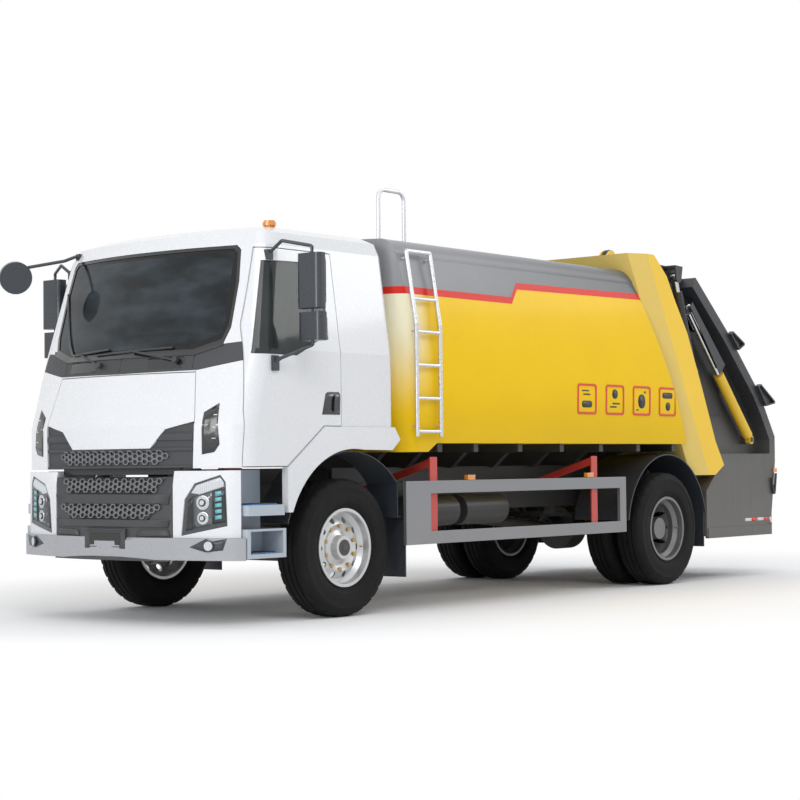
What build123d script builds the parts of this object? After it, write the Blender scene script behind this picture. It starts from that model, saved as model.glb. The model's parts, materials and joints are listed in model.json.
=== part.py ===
"""Rear-loading garbage compactor truck with two axles and a tilting cab over the engine.

Millimetres, +Z up, the front faces -Y and +X is the truck's left. The origin lies on the ground
under the centre of the outline. Side outlines are (y, z) pairs, with y counted from an axle.
"""
import os
from math import atan2, cos, degrees, hypot, radians, sin

from build123d import *

os.makedirs("parts", exist_ok=True)

# ---------------------------------------------------------------- driving dimensions
FRONT_OVERHANG = 1440.0      # bumper nose to front axle
WHEELBASE = 4500.0
REAR_OVERHANG = 2410.0       # rear axle to the bin lifter's comb
LENGTH = FRONT_OVERHANG + WHEELBASE + REAR_OVERHANG
FRONT_AXLE_Y = FRONT_OVERHANG - LENGTH / 2
REAR_AXLE_Y = FRONT_AXLE_Y + WHEELBASE

TYRE_R = 525.0
TYRE_WIDTH = 280.0
BEAD_R = 288.0               # tyre's inner edge and rim seat
RIM_WIDTH = 236.0
FRONT_WHEEL_X = 990.0        # middle plane of a front wheel
REAR_OUTER_X = 1080.0        # middle plane of an outer rear wheel
TWIN_SPACING = 340.0
KINGPIN_X = 830.0
STEER_LIMIT = 35.0
RUNNING_GAP = 8.0            # between pieces that move past each other
SEAT = 0.3                   # between a piece and what carries it
SPINDLE_R = 32.0             # front wheel's spindle
AXLE_TUBE_R = 50.0           # rear axle tube inside the hub
BEARING_FIT = 0.5            # radial clearance of a hub on its axle

RAIL_X = 430.0               # outer face of a chassis rail
RAIL_TOP = 1000.0
RAIL_HEIGHT = 250.0
RAIL_FLANGE = 75.0
RAIL_WALL = 10.0

CAB_HALF = 1200.0            # half width at the doors
CAB_SILL_Z = 1147.0          # lower edge of the doors
CAB_ARCH_Z = 1442.0          # top of the front fenders
CAB_BELT_Z = 2000.0          # below the side windows
CAB_ROOF_Z = 2935.0
CAB_NOSE = -1400.0           # cab front at the middle, from the front axle
CAB_BACK = 488.0
CAB_WALL = 50.0
NOSE_RADIUS = 3200.0         # plan curve of the cab's face
CORNER_RADIUS = 200.0
ROOF_LEAN = 110.0            # how far the side leans in from belt to roof
SEAM = 6.0                   # gap round doors and panels
PANEL = 24.0                 # thickness of outer plastic panels
GLASS = 6.0
TILT_Y = -1250.0             # cab tilt pivot, from the front axle
TILT_Z = 800.0
DOOR_REAR = -140.0

BODY_FRONT = 590.0           # shield's front face, from the front axle
SHIELD_END = 1020.0
BODY_BOTTOM = 1320.0
BODY_TOP = 2945.0
BODY_CROWN = 25.0
BODY_HALF_BOTTOM = 1215.0
BODY_HALF_WAIST = 1240.0
BODY_WAIST_Z = 2000.0
BODY_HALF_TOP = 1120.0
BODY_SKIN = 6.0
FRAME_HALF = 1250.0          # rear frame's outer face
OPENING_HALF = 1085.0        # half width of the opening in the rear frame
SILL_TOP = 1320.0

TAIL_HALF = 1060.0           # outer face of the hopper's side plates
TAIL_RIB = 1215.0            # outer face of the hopper's ribs
TAIL_PLATE = 10.0
CYLINDER_X = 1140.0          # plane of the side cylinders
HINGE_Y = -190.0             # tailgate hinge, from the rear axle
HINGE_Z = 3130.0
HINGE_R = 40.0
SLIDE_ANGLE = 46.8           # carriage path below the horizontal
SLIDE_TRAVEL = 750.0
PACKER_Y = 880.0             # blade hinge with the carriage up, from the rear axle
PACKER_Z = 2240.0
PACKER_R = 850.0             # blade hinge to blade tip
PACKER_SWING = 65.0
HOPPER_SILL_Z = 1100.0
HOPPER_FLOOR = 420.0
LIFTER_Y = 2130.0            # bin lifter pivot, from the rear axle
LIFTER_Z = 1120.0


# ---------------------------------------------------------------- helpers
def keep(builder, label):
    """Name a finished piece and write it."""
    builder.part.label = label
    export_step(builder.part, f"parts/{label}.step")


def fa(y):
    """Place a length from the front axle in the frame."""
    return FRONT_AXLE_Y + y


def ra(y):
    """Place a length from the rear axle in the frame."""
    return REAR_AXLE_Y + y


def from_front(points):
    return [(fa(y), z) for y, z in points]


def from_rear(points):
    return [(ra(y), z) for y, z in points]


def outline(points):
    """Closed face through straight runs, inside the current sketch."""
    with BuildLine() as run:
        Polyline(*points, close=True)
    make_face(run.edges())


def side_slab(points, x_low, x_high, mode=Mode.ADD):
    """Plate with a side outline, between two x planes."""
    with BuildSketch(Plane.YZ.offset(x_low)) as side:
        outline(points)
    extrude(side.sketch, amount=x_high - x_low, mode=mode)


def both_slabs(points, x_low, x_high, mode=Mode.ADD):
    side_slab(points, x_low, x_high, mode)
    side_slab(points, -x_high, -x_low, mode)


def block(x0, x1, y0, y1, z0, z1, mode=Mode.ADD):
    """Square-edged solid between three pairs of planes."""
    with Locations(((x0 + x1) / 2, (y0 + y1) / 2, (z0 + z1) / 2)):
        Box(abs(x1 - x0), abs(y1 - y0), abs(z1 - z0), mode=mode)


def bar(start, end, radius, mode=Mode.ADD):
    """Round bar from start to end."""
    axis = Vector(*end) - Vector(*start)
    with BuildSketch(Plane(origin=start, z_dir=axis)) as section:
        Circle(radius)
    extrude(section.sketch, amount=axis.length, mode=mode)


def cross_bar(x0, x1, y, z, radius, mode=Mode.ADD):
    """Round bar along X."""
    bar((x0, y, z), (x1, y, z), radius, mode)


def along(start, angle, distance):
    """Point at a distance from start, at an angle above +Y in the side view."""
    return (start[0] + distance * cos(radians(angle)), start[1] + distance * sin(radians(angle)))


def pipe_run(points, bend, radius):
    """Round tube along straight runs joined by equal bends."""
    with BuildLine() as route:
        FilletPolyline(*points, radius=bend)
    start = Plane(origin=points[0], z_dir=Vector(*points[1]) - Vector(*points[0]))
    with BuildSketch(start) as section:
        Circle(radius)
    sweep(section.sketch, path=route.line)


# ---------------------------------------------------------------- wheels
# columns: radius, half width; the outer half of a tyre's section from bead to tread
TYRE_SECTION = [(BEAD_R, 104.0), (BEAD_R + 16, 104.0), (TYRE_R - 200, 130.0),
                (TYRE_R - 120, TYRE_WIDTH / 2),
                (TYRE_R - 30, 122.0), (TYRE_R, 98.0)]
WHEEL_NAMES = [("fl", 1, FRONT_AXLE_Y, (FRONT_WHEEL_X,)), ("fr", -1, FRONT_AXLE_Y, (FRONT_WHEEL_X,)),
               ("rl", 1, REAR_AXLE_Y, (REAR_OUTER_X, REAR_OUTER_X - TWIN_SPACING)),
               ("rr", -1, REAR_AXLE_Y, (REAR_OUTER_X, REAR_OUTER_X - TWIN_SPACING))]
RIM_WALL = 12.0
DISC_WALL = 14.0
HUB_R = 140.0
HUB_BORE = 60.0
HAND_HOLES = 10
HAND_HOLE_R = 24.0
HAND_HOLE_CIRCLE_R = 215.0
WELL_R = 240.0


def wheel_plane(x, y):
    """Plane whose X runs out along the wheel's axis and whose Z is the radius."""
    return Plane(origin=(x, y, TYRE_R), x_dir=(1, 0, 0), z_dir=(0, -1, 0))


def revolved(points, x, y, side):
    """Ring whose section lists (radius, distance outwards)."""
    with BuildSketch(wheel_plane(x * side, y)) as section:
        outline([(out * side, radius) for radius, out in points])
    revolve(section.sketch, axis=Axis((x * side, y, TYRE_R), (1, 0, 0)))


def tyre_section():
    return TYRE_SECTION + [(r, -w) for r, w in reversed(TYRE_SECTION)]


def rim_section():
    """Rim with its flanges, bead seats and drop-centre well."""
    half = RIM_WIDTH / 2
    seat = BEAD_R - SEAT
    inner = seat - RIM_WALL
    return [(seat + 12, half), (seat + 12, half - 12), (seat, half - 12), (seat - 4, half - 60),
            (WELL_R + 12, 30), (WELL_R + 12, -30), (seat - 4, 60 - half), (seat, 12 - half),
            (seat + 12, 12 - half), (seat + 12, -half), (inner, -half), (inner - 4, 55 - half),
            (WELL_R, -30), (WELL_R, 30), (inner - 4, half - 55), (inner, half)]


def bearing_section(axle_r, start):
    """Bearing ring between an axle and the hub's bore."""
    bore = axle_r + BEARING_FIT
    return [(bore, start), (HUB_BORE + 3, start), (HUB_BORE + 3, start + 30), (bore, start + 30)]


for name, side, axle_y, planes in WHEEL_NAMES:
    with BuildPart() as tyre:
        for x in planes:
            revolved(tyre_section(), x, axle_y, side)
    keep(tyre, f"tyre_{name}")

    front = len(planes) == 1
    disc_face = 20.0 if front else -TWIN_SPACING / 2
    hub_tip = RIM_WIDTH / 2 - 10 if front else 75.0
    with BuildPart() as rim:
        for x in planes:
            revolved(rim_section(), x, axle_y, side)
        outer = planes[0]
        hub_x = outer + disc_face
        if front:
            disc = [(WELL_R + 2, 10.0), (WELL_R + 2, 28.0), (HUB_R + 40, disc_face + 42),
                    (HUB_R, disc_face + DISC_WALL), (HUB_BORE, disc_face + DISC_WALL),
                    (HUB_BORE, disc_face), (HUB_R + 6, disc_face), (HUB_R + 44, disc_face + 26)]
            revolved(disc, outer, axle_y, side)
            revolved([(HUB_BORE + 2, -65.0), (HUB_R - 10, -65.0), (HUB_R - 10, disc_face + DISC_WALL),
                      (95.0, disc_face + 30), (88.0, hub_tip), (0, hub_tip), (0, hub_tip - 20),
                      (HUB_BORE + 2, hub_tip - 20)], outer, axle_y, side)
            revolved(bearing_section(SPINDLE_R, -60.0), outer, axle_y, side)
        else:
            for sign, wheel_x in ((1, planes[0]), (-1, planes[1])):
                mate = sign * disc_face
                disc = [(WELL_R + 2, -sign * 30.0), (WELL_R + 2, -sign * 14.0),
                        (HUB_R + 50, mate + sign * DISC_WALL), (HUB_BORE, mate + sign * DISC_WALL),
                        (HUB_BORE, mate), (HUB_R + 56, mate)]
                revolved(disc, wheel_x, axle_y, side)
            revolved([(HUB_BORE + 2, disc_face - 110), (HUB_R - 10, disc_face - 110),
                      (HUB_R - 10, disc_face + 20), (110.0, disc_face + 30), (100.0, hub_tip - 40),
                      (0, hub_tip - 40), (0, hub_tip - 70), (HUB_BORE + 2, hub_tip - 70)],
                     outer, axle_y, side)
            revolved(bearing_section(AXLE_TUBE_R, disc_face - 100), outer, axle_y, side)
        with Locations(Plane(origin=(side * outer, axle_y, TYRE_R), x_dir=(0, 1, 0), z_dir=(side, 0, 0))):
            with PolarLocations(HAND_HOLE_CIRCLE_R, HAND_HOLES):
                Cylinder(HAND_HOLE_R, RIM_WIDTH + TWIN_SPACING if front else 2 * TWIN_SPACING + RIM_WIDTH,
                         mode=Mode.SUBTRACT)
    keep(rim, f"rim_{name}")

# ---------------------------------------------------------------- axles and steering
KINGPIN_R = 22.0
EYE_R = 42.0
AXLE_BEAM = 46.0             # half height of the front beam
BEAM_DROP = 70.0
SPRING_X = 400.0
SPRING_HALF_WIDTH = 38.0
SPRING_SPAN = 780.0          # half length of a leaf spring
SPRING_LEAVES = 4
LEAF = 16.0
HANGER = 14.0
KNUCKLE_GAP = 2.0
BEAM_TOP = TYRE_R - BEAM_DROP + AXLE_BEAM
RAIL_BOTTOM = RAIL_TOP - RAIL_HEIGHT


def spring_pack(x, axle_y, seat_z):
    """Leaf pack that rests on its axle seat and curves up to shackles under the rail."""
    rise = RAIL_BOTTOM - 60 - seat_z - SPRING_LEAVES * LEAF
    for leaf in range(SPRING_LEAVES):
        half = SPRING_SPAN * (1 - 0.2 * (SPRING_LEAVES - 1 - leaf))
        low = seat_z + leaf * LEAF
        end = low + rise * (half / SPRING_SPAN) ** 2
        with BuildSketch(Plane.YZ.offset(x - SPRING_HALF_WIDTH)) as side:
            with BuildLine():
                under = ThreePointArc((axle_y - half, end), (axle_y, low), (axle_y + half, end))
                over = ThreePointArc((axle_y - half, end + LEAF), (axle_y, low + LEAF),
                                     (axle_y + half, end + LEAF))
                Line(under @ 0, over @ 0)
                Line(under @ 1, over @ 1)
            make_face()
        extrude(side.sketch, amount=2 * SPRING_HALF_WIDTH)
    for end_y in (axle_y - SPRING_SPAN, axle_y + SPRING_SPAN):
        block(x - SPRING_HALF_WIDTH, x + SPRING_HALF_WIDTH, end_y - 30, end_y + 30, RAIL_BOTTOM - 70,
              RAIL_BOTTOM)


with BuildPart() as front_axle:
    beam = [(-KINGPIN_X, TYRE_R - AXLE_BEAM), (60 - KINGPIN_X, TYRE_R - AXLE_BEAM),
            (-KINGPIN_X + 150, TYRE_R - AXLE_BEAM - BEAM_DROP),
            (KINGPIN_X - 150, TYRE_R - AXLE_BEAM - BEAM_DROP),
            (KINGPIN_X - 60, TYRE_R - AXLE_BEAM), (KINGPIN_X, TYRE_R - AXLE_BEAM),
            (KINGPIN_X, TYRE_R + AXLE_BEAM), (KINGPIN_X - 120, TYRE_R + AXLE_BEAM),
            (KINGPIN_X - 230, BEAM_TOP), (230 - KINGPIN_X, BEAM_TOP),
            (120 - KINGPIN_X, TYRE_R + AXLE_BEAM), (-KINGPIN_X, TYRE_R + AXLE_BEAM)]
    with BuildSketch(Plane.XZ.offset(-FRONT_AXLE_Y)):
        outline(beam)
    extrude(amount=38, both=True)
    for side in (1, -1):
        pin_x = side * KINGPIN_X
        bar((pin_x, FRONT_AXLE_Y, TYRE_R - AXLE_BEAM), (pin_x, FRONT_AXLE_Y, TYRE_R + AXLE_BEAM), EYE_R)
        bar((pin_x, FRONT_AXLE_Y, TYRE_R - 110), (pin_x, FRONT_AXLE_Y, TYRE_R + 110), KINGPIN_R)
        spring_pack(side * SPRING_X, FRONT_AXLE_Y, BEAM_TOP)
keep(front_axle, "front_axle")

for name, side in (("l", 1), ("r", -1)):
    pin_x = side * KINGPIN_X
    with BuildPart() as knuckle:
        for low, high in ((TYRE_R - 100, TYRE_R - AXLE_BEAM - KNUCKLE_GAP),
                          (TYRE_R + AXLE_BEAM + KNUCKLE_GAP, TYRE_R + 100)):
            bar((pin_x, FRONT_AXLE_Y, low), (pin_x, FRONT_AXLE_Y, high), EYE_R)
            block(pin_x, pin_x + side * 75, FRONT_AXLE_Y - 35, FRONT_AXLE_Y + 35, low, high)
        block(pin_x + side * 50, pin_x + side * 78, FRONT_AXLE_Y - 60, FRONT_AXLE_Y + 60, TYRE_R - 100,
              TYRE_R + 100)
        cross_bar(pin_x + side * 70, side * (FRONT_WHEEL_X + RIM_WIDTH / 2 - 40), FRONT_AXLE_Y, TYRE_R,
                  SPINDLE_R)
        block(pin_x - side * 30, pin_x + side * 30, FRONT_AXLE_Y, FRONT_AXLE_Y + 160, TYRE_R - 95,
              TYRE_R - 60)
        bar((pin_x, FRONT_AXLE_Y, TYRE_R - 111), (pin_x, FRONT_AXLE_Y, TYRE_R + 111), KINGPIN_R + 0.3,
            Mode.SUBTRACT)
    keep(knuckle, f"knuckle_{name}")

DIFF_R = 210.0
PINION_END = -300.0          # face of the pinion nose, from the rear axle
PINION_Z = TYRE_R + 10
HOUSING_R = 68.0
with BuildPart() as rear_axle:
    tube_end = REAR_OUTER_X - 60
    cross_bar(-tube_end, tube_end, REAR_AXLE_Y, TYRE_R, AXLE_TUBE_R)
    cross_bar(-REAR_OUTER_X + 480, REAR_OUTER_X - 480, REAR_AXLE_Y, TYRE_R, HOUSING_R)
    with BuildSketch(Plane.XZ.offset(-REAR_AXLE_Y + 110)):
        with Locations((0, TYRE_R)):
            Circle(DIFF_R)
    extrude(amount=-220)
    bar((0, REAR_AXLE_Y - 100, PINION_Z), (0, REAR_AXLE_Y + PINION_END, PINION_Z), 95.0)
    for side in (1, -1):
        x = side * (SPRING_X - 5)
        block(x - 50, x + 50, REAR_AXLE_Y - 70, REAR_AXLE_Y + 70, TYRE_R + 40, TYRE_R + 90)
        spring_pack(x, REAR_AXLE_Y, TYRE_R + 90 - 1)
keep(rear_axle, "rear_axle")

# ---------------------------------------------------------------- chassis
FRAME_FRONT = -1120.0        # rail ends, from the front axle
FRAME_REAR = 4940.0
FRONT_BEAM_Z = (600.0, 720.0)
FRONT_BEAM_Y = (-1290.0, -1240.0)
CROSS_MEMBERS = [-800.0, 1900.0, 3000.0, 3900.0, 4860.0]
BEARERS = [1080.0, 1560.0, 2180.0, 2800.0, 3420.0, 4040.0, 4660.0]
BEARER_HALF = 1180.0
SILL_HEIGHT = 130.0
FRONT_BEAM_HALF = 636.0
TOW_BORE_R = 25.0
TOW_PLATE = 30.0
TILT_PIN_R = 30.0
LUG_X = (360.0, 376.0)       # plates of the tilt pivot on the chassis

with BuildPart() as chassis_frame:
    for side in (1, -1):
        x0, x1 = side * (RAIL_X - RAIL_FLANGE), side * RAIL_X
        block(x1 - side * RAIL_WALL, x1, fa(FRAME_FRONT), fa(FRAME_REAR), RAIL_BOTTOM, RAIL_TOP)
        for z0, z1 in ((RAIL_BOTTOM, RAIL_BOTTOM + RAIL_WALL), (RAIL_TOP - RAIL_WALL, RAIL_TOP)):
            block(x0, x1, fa(FRAME_FRONT), fa(FRAME_REAR), z0, z1)
        lug = from_front([(FRAME_FRONT + 200, RAIL_TOP - 40), (FRAME_FRONT, RAIL_TOP - 40),
                          (TILT_Y + 30, TILT_Z + 55),
                          (TILT_Y - 35, TILT_Z + 45), (FRONT_BEAM_Y[0] + 4, FRONT_BEAM_Z[1] + 20),
                          (FRONT_BEAM_Y[0] + 4, FRONT_BEAM_Z[0]), (FRONT_BEAM_Y[1], FRONT_BEAM_Z[0]),
                          (FRAME_FRONT, RAIL_BOTTOM), (FRAME_FRONT + 200, RAIL_BOTTOM)])
        side_slab(lug, *sorted((side * LUG_X[0], side * LUG_X[1])))
        cross_bar(side * (LUG_X[0] - 66), side * LUG_X[1], fa(TILT_Y), TILT_Z, TILT_PIN_R)
        block(side * 400, side * (400 - 45), fa(BODY_FRONT + 60), fa(FRAME_REAR), RAIL_TOP,
              RAIL_TOP + SILL_HEIGHT)
    block(-FRONT_BEAM_HALF, FRONT_BEAM_HALF, fa(FRONT_BEAM_Y[0]), fa(FRONT_BEAM_Y[1]), *FRONT_BEAM_Z)
    block(-70, 70, fa(FRONT_BEAM_Y[0] + 5), fa(FRONT_BEAM_Y[1] + 60), FRONT_BEAM_Z[0] - 60,
          FRONT_BEAM_Z[0] + 10)
    with Locations((0, fa(FRONT_BEAM_Y[0] + 45), FRONT_BEAM_Z[0] - 60 - TOW_PLATE / 2)):
        Cylinder(60, TOW_PLATE)
        Cylinder(TOW_BORE_R, TOW_PLATE, mode=Mode.SUBTRACT)
    for y in CROSS_MEMBERS:
        block(-RAIL_X + RAIL_WALL, RAIL_X - RAIL_WALL, fa(y - 40), fa(y + 40), RAIL_TOP - 110,
              RAIL_TOP - 10)
    for y in BEARERS:
        bearer = [(-BEARER_HALF, BODY_BOTTOM - 0.3), (-BEARER_HALF, BODY_BOTTOM - 70),
                  (-600, BODY_BOTTOM - 70),
                  (-450, RAIL_TOP + SILL_HEIGHT - 10), (450, RAIL_TOP + SILL_HEIGHT - 10),
                  (600, BODY_BOTTOM - 70),
                  (BEARER_HALF, BODY_BOTTOM - 70), (BEARER_HALF, BODY_BOTTOM - 0.3)]
        with BuildSketch(Plane.XZ.offset(-fa(y))):
            outline(bearer)
        extrude(amount=30, both=True)
keep(chassis_frame, "chassis_frame")

ENGINE = dict(half=380.0, y0=-700.0, y1=420.0, z0=640.0, z1=1290.0)
GEARBOX_END = 1250.0
with BuildPart() as driveline:
    block(-ENGINE["half"] + 60, ENGINE["half"] - 60, fa(ENGINE["y0"]), fa(ENGINE["y1"] - 30),
          BEAM_TOP + 200, ENGINE["z1"] - 160)
    bell = [(fa(ENGINE["y1"] - 40), 260.0), (fa(GEARBOX_END), 130.0)]
    with BuildSketch(Plane.XZ.offset(-bell[0][0])):
        with Locations((0, RAIL_BOTTOM + 110)):
            Circle(250)
    with BuildSketch(Plane.XZ.offset(-bell[1][0])):
        with Locations((0, RAIL_BOTTOM + 80)):
            Circle(130)
    loft()
    bar((0, fa(GEARBOX_END - 10), RAIL_BOTTOM + 80), (0, ra(PINION_END - 30), PINION_Z + 4), 48)
    bar((0, ra(PINION_END - 50), PINION_Z), (0, ra(PINION_END) - SEAT, PINION_Z), 75)
keep(driveline, "driveline")

# ---------------------------------------------------------------- load body
FLANK = 95.0                 # how far the rear frame's front flank sets back
FLANK_RUN = 200.0
FRAME_TOP = 3085.0
FRAME_SLOPE = 0.515          # run per rise of the body's rear end
FRAME_FOOT = (500.0, 1020.0)  # front lower corner, from the rear axle
SHIELD_BOTTOM = 1250.0
SHIELD_CORNER = 240.0
ROOF_SHOULDER = 145.0
BODY_END = FRAME_FOOT[0] - (BODY_BOTTOM - FRAME_FOOT[1]) * FRAME_SLOPE
EJECTOR_GAP = 34.0
EJECTOR_TRAVEL = 2700.0


def body_section(y, inset=0.0, bottom=BODY_BOTTOM):
    """Cross-section of the load body on the plane at y, moved in by inset."""
    shoulder = BODY_TOP - ROOF_SHOULDER
    roof_x = BODY_HALF_TOP - ROOF_SHOULDER + 10
    with BuildSketch(Plane.XZ.offset(-y)) as section:
        with BuildLine() as run:
            for side in (1, -1):
                ThreePointArc((side * BODY_HALF_BOTTOM, bottom), (side * BODY_HALF_WAIST, BODY_WAIST_Z),
                              (side * BODY_HALF_TOP, shoulder))
                ThreePointArc((side * BODY_HALF_TOP, shoulder),
                              (side * (BODY_HALF_TOP - 38), BODY_TOP - 48),
                              (side * roof_x, BODY_TOP))
            ThreePointArc((roof_x, BODY_TOP), (0, BODY_TOP + BODY_CROWN), (-roof_x, BODY_TOP))
            Line((BODY_HALF_BOTTOM, bottom), (-BODY_HALF_BOTTOM, bottom))
        make_face(run.edges())
        if inset:
            offset(amount=-inset)
    return section.sketch


def body_half(z):
    """Half width of the load body's curved side at height z."""
    shoulder = BODY_TOP - ROOF_SHOULDER
    arc = ThreePointArc((BODY_HALF_BOTTOM, BODY_BOTTOM), (BODY_HALF_WAIST, BODY_WAIST_Z),
                        (BODY_HALF_TOP, shoulder))
    centre = arc.arc_center
    return centre.X + (arc.radius ** 2 - (z - centre.Y) ** 2) ** 0.5


def rear_slope_y(z, shift=0.0):
    """Where the body's slanted rear end lies at height z."""
    return ra(FRAME_FOOT[0] - (z - FRAME_FOOT[1]) * FRAME_SLOPE + shift)


with BuildPart() as body_shell:
    extrude(body_section(fa(SHIELD_END)), amount=-(ra(BODY_END) - fa(SHIELD_END) + 200))
    extrude(body_section(fa(SHIELD_END) + BODY_SKIN, BODY_SKIN),
            amount=-(ra(BODY_END) - fa(SHIELD_END) + 300),
            mode=Mode.SUBTRACT)
    beyond = [(rear_slope_y(1200), 1200), (rear_slope_y(3200), 3200), (ra(1500), 3200), (ra(1500), 1200)]
    side_slab(beyond, -1400, 1400, Mode.SUBTRACT)
keep(body_shell, "body_shell")

with BuildPart() as front_shield:
    depth = SHIELD_END - BODY_FRONT
    extrude(body_section(fa(BODY_FRONT), 0, SHIELD_BOTTOM), amount=-depth)
    with BuildSketch(Plane.XY) as plan:
        with Locations((0, fa(BODY_FRONT) + LENGTH / 2)):
            RectangleRounded(2 * BODY_HALF_WAIST, LENGTH, SHIELD_CORNER)
    extrude(plan.sketch, amount=2 * BODY_TOP, mode=Mode.INTERSECT)
    with BuildSketch(Plane.XY.offset(SHIELD_BOTTOM - 10)) as core:
        with Locations((0, fa(BODY_FRONT + PANEL + 500))):
            Rectangle(2 * (BODY_HALF_TOP - 60), 1000)
    extrude(core.sketch, amount=BODY_TOP - 60 - SHIELD_BOTTOM + 10, mode=Mode.SUBTRACT)
    rise = from_front([(SHIELD_END + 5, SHIELD_BOTTOM - 5), (SHIELD_END + 5, BODY_BOTTOM),
                       (SHIELD_END - 30, BODY_BOTTOM), (SHIELD_END - 140, SHIELD_BOTTOM - 5)])
    side_slab(rise, -1300, 1300, Mode.SUBTRACT)
keep(front_shield, "front_shield")

# rear frame outline from its front foot round the pillar's rear edge, from the rear axle
FRAME_REAR_EDGE = [(820.0, 1020.0), (990.0, 1115.0), (830.0, 1350.0), (590.0, 1860.0), (330.0, 2380.0),
                   (120.0, 2670.0), (-30.0, 2900.0), (-250.0, FRAME_TOP)]
LIFT_BASE = (590.0, 2020.0)  # lift cylinder's lower pin, from the rear axle
LIFT_EYE = (300.0, 2920.0)   # and its rod eye on the tailgate
LUG_GAP = 30.0               # half width between a pair of lugs
LUG_PLATE = 15.0
HINGE_EARS = [700.0, -700.0]
EAR_HALF = 25.0
with BuildPart() as rear_frame:
    ring = from_rear([FRAME_FOOT] + FRAME_REAR_EDGE) + [(rear_slope_y(FRAME_TOP), FRAME_TOP)]
    side_slab(ring, -FRAME_HALF, FRAME_HALF)
    for side in (1, -1):
        wedge_low = [(side * (FRAME_HALF + 1), rear_slope_y(900) - 5),
                     (side * (FRAME_HALF + 1), rear_slope_y(900, FLANK_RUN)),
                     (side * (FRAME_HALF - FLANK), rear_slope_y(900) - 5)]
        wedge_high = [(x, y - (3200 - 900) * FRAME_SLOPE) for x, y in wedge_low]
        with BuildSketch(Plane.XY.offset(900)) as low:
            outline(wedge_low)
        with BuildSketch(Plane.XY.offset(3200)) as high:
            outline(wedge_high)
        loft([low.sketch, high.sketch], mode=Mode.SUBTRACT)
    block(-OPENING_HALF, OPENING_HALF, ra(-1500), ra(1500), SILL_TOP, 2890, Mode.SUBTRACT)
    for ear in HINGE_EARS:
        for plate in (ear - EAR_HALF - 10 - LUG_PLATE, ear + EAR_HALF + 10):
            hinge_lug = from_rear([(HINGE_Y - 130, FRAME_TOP - 5), (HINGE_Y - 45, HINGE_Z + 30),
                                   (HINGE_Y, HINGE_Z + 45),
                                   (HINGE_Y + 45, HINGE_Z + 20), (HINGE_Y + 45, HINGE_Z - 30),
                                   (-120, 2960)])
            side_slab(hinge_lug, plate, plate + LUG_PLATE)
        cross_bar(ear - EAR_HALF - 12, ear + EAR_HALF + 12, ra(HINGE_Y), HINGE_Z, HINGE_R - 14)
    for side in (1, -1):
        for edge in (LUG_GAP, -LUG_GAP - LUG_PLATE):
            x0 = side * CYLINDER_X + edge
            base_lug = from_rear([(LIFT_BASE[0] - 110, LIFT_BASE[1] + 50),
                                  (LIFT_BASE[0] + 15, LIFT_BASE[1] + 40),
                                  (LIFT_BASE[0] + 40, LIFT_BASE[1]), (LIFT_BASE[0] + 15, LIFT_BASE[1] - 40),
                                  (LIFT_BASE[0] - 60, LIFT_BASE[1] - 60)])
            side_slab(base_lug, x0, x0 + LUG_PLATE)
        x = side * CYLINDER_X
        cross_bar(x - LUG_GAP - 2, x + LUG_GAP + 2, ra(LIFT_BASE[0]), LIFT_BASE[1], 20)
keep(rear_frame, "rear_frame")

with BuildPart() as ejector_plate:
    face_low, face_high = SHIELD_END + 620, SHIELD_END + 90
    blade = from_front([(face_high - 40, 2900), (face_high, 2900), (face_low, 1500),
                        (face_low, BODY_BOTTOM + 45),
                        (face_low - 60, BODY_BOTTOM + 45), (face_low - 60, 1480), (face_high - 40, 2760)])
    side_slab(blade, -1300, 1300)
    foot = from_front([(SHIELD_END + 60, BODY_BOTTOM + 45), (face_low - 10, BODY_BOTTOM + 45),
                       (face_low - 10, BODY_BOTTOM + 145),
                       (SHIELD_END + 60, BODY_BOTTOM + 145)])
    for x in (-700, 700):
        side_slab(foot, x - 40, x + 40)
        brace = from_front([(SHIELD_END + 80, BODY_BOTTOM + 140), (SHIELD_END + 160, BODY_BOTTOM + 140),
                            (SHIELD_END + 280, 2350), (SHIELD_END + 220, 2350)])
        side_slab(brace, x - 30, x + 30)
    extrude(body_section(fa(SHIELD_END), EJECTOR_GAP), amount=-900, mode=Mode.INTERSECT)
    for x in (-700, 700):
        block(x - 60, x + 60, fa(SHIELD_END + 70), fa(face_low - 20), BODY_BOTTOM + BODY_SKIN + SEAT,
              BODY_BOTTOM + 60)
keep(ejector_plate, "ejector_plate")

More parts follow.
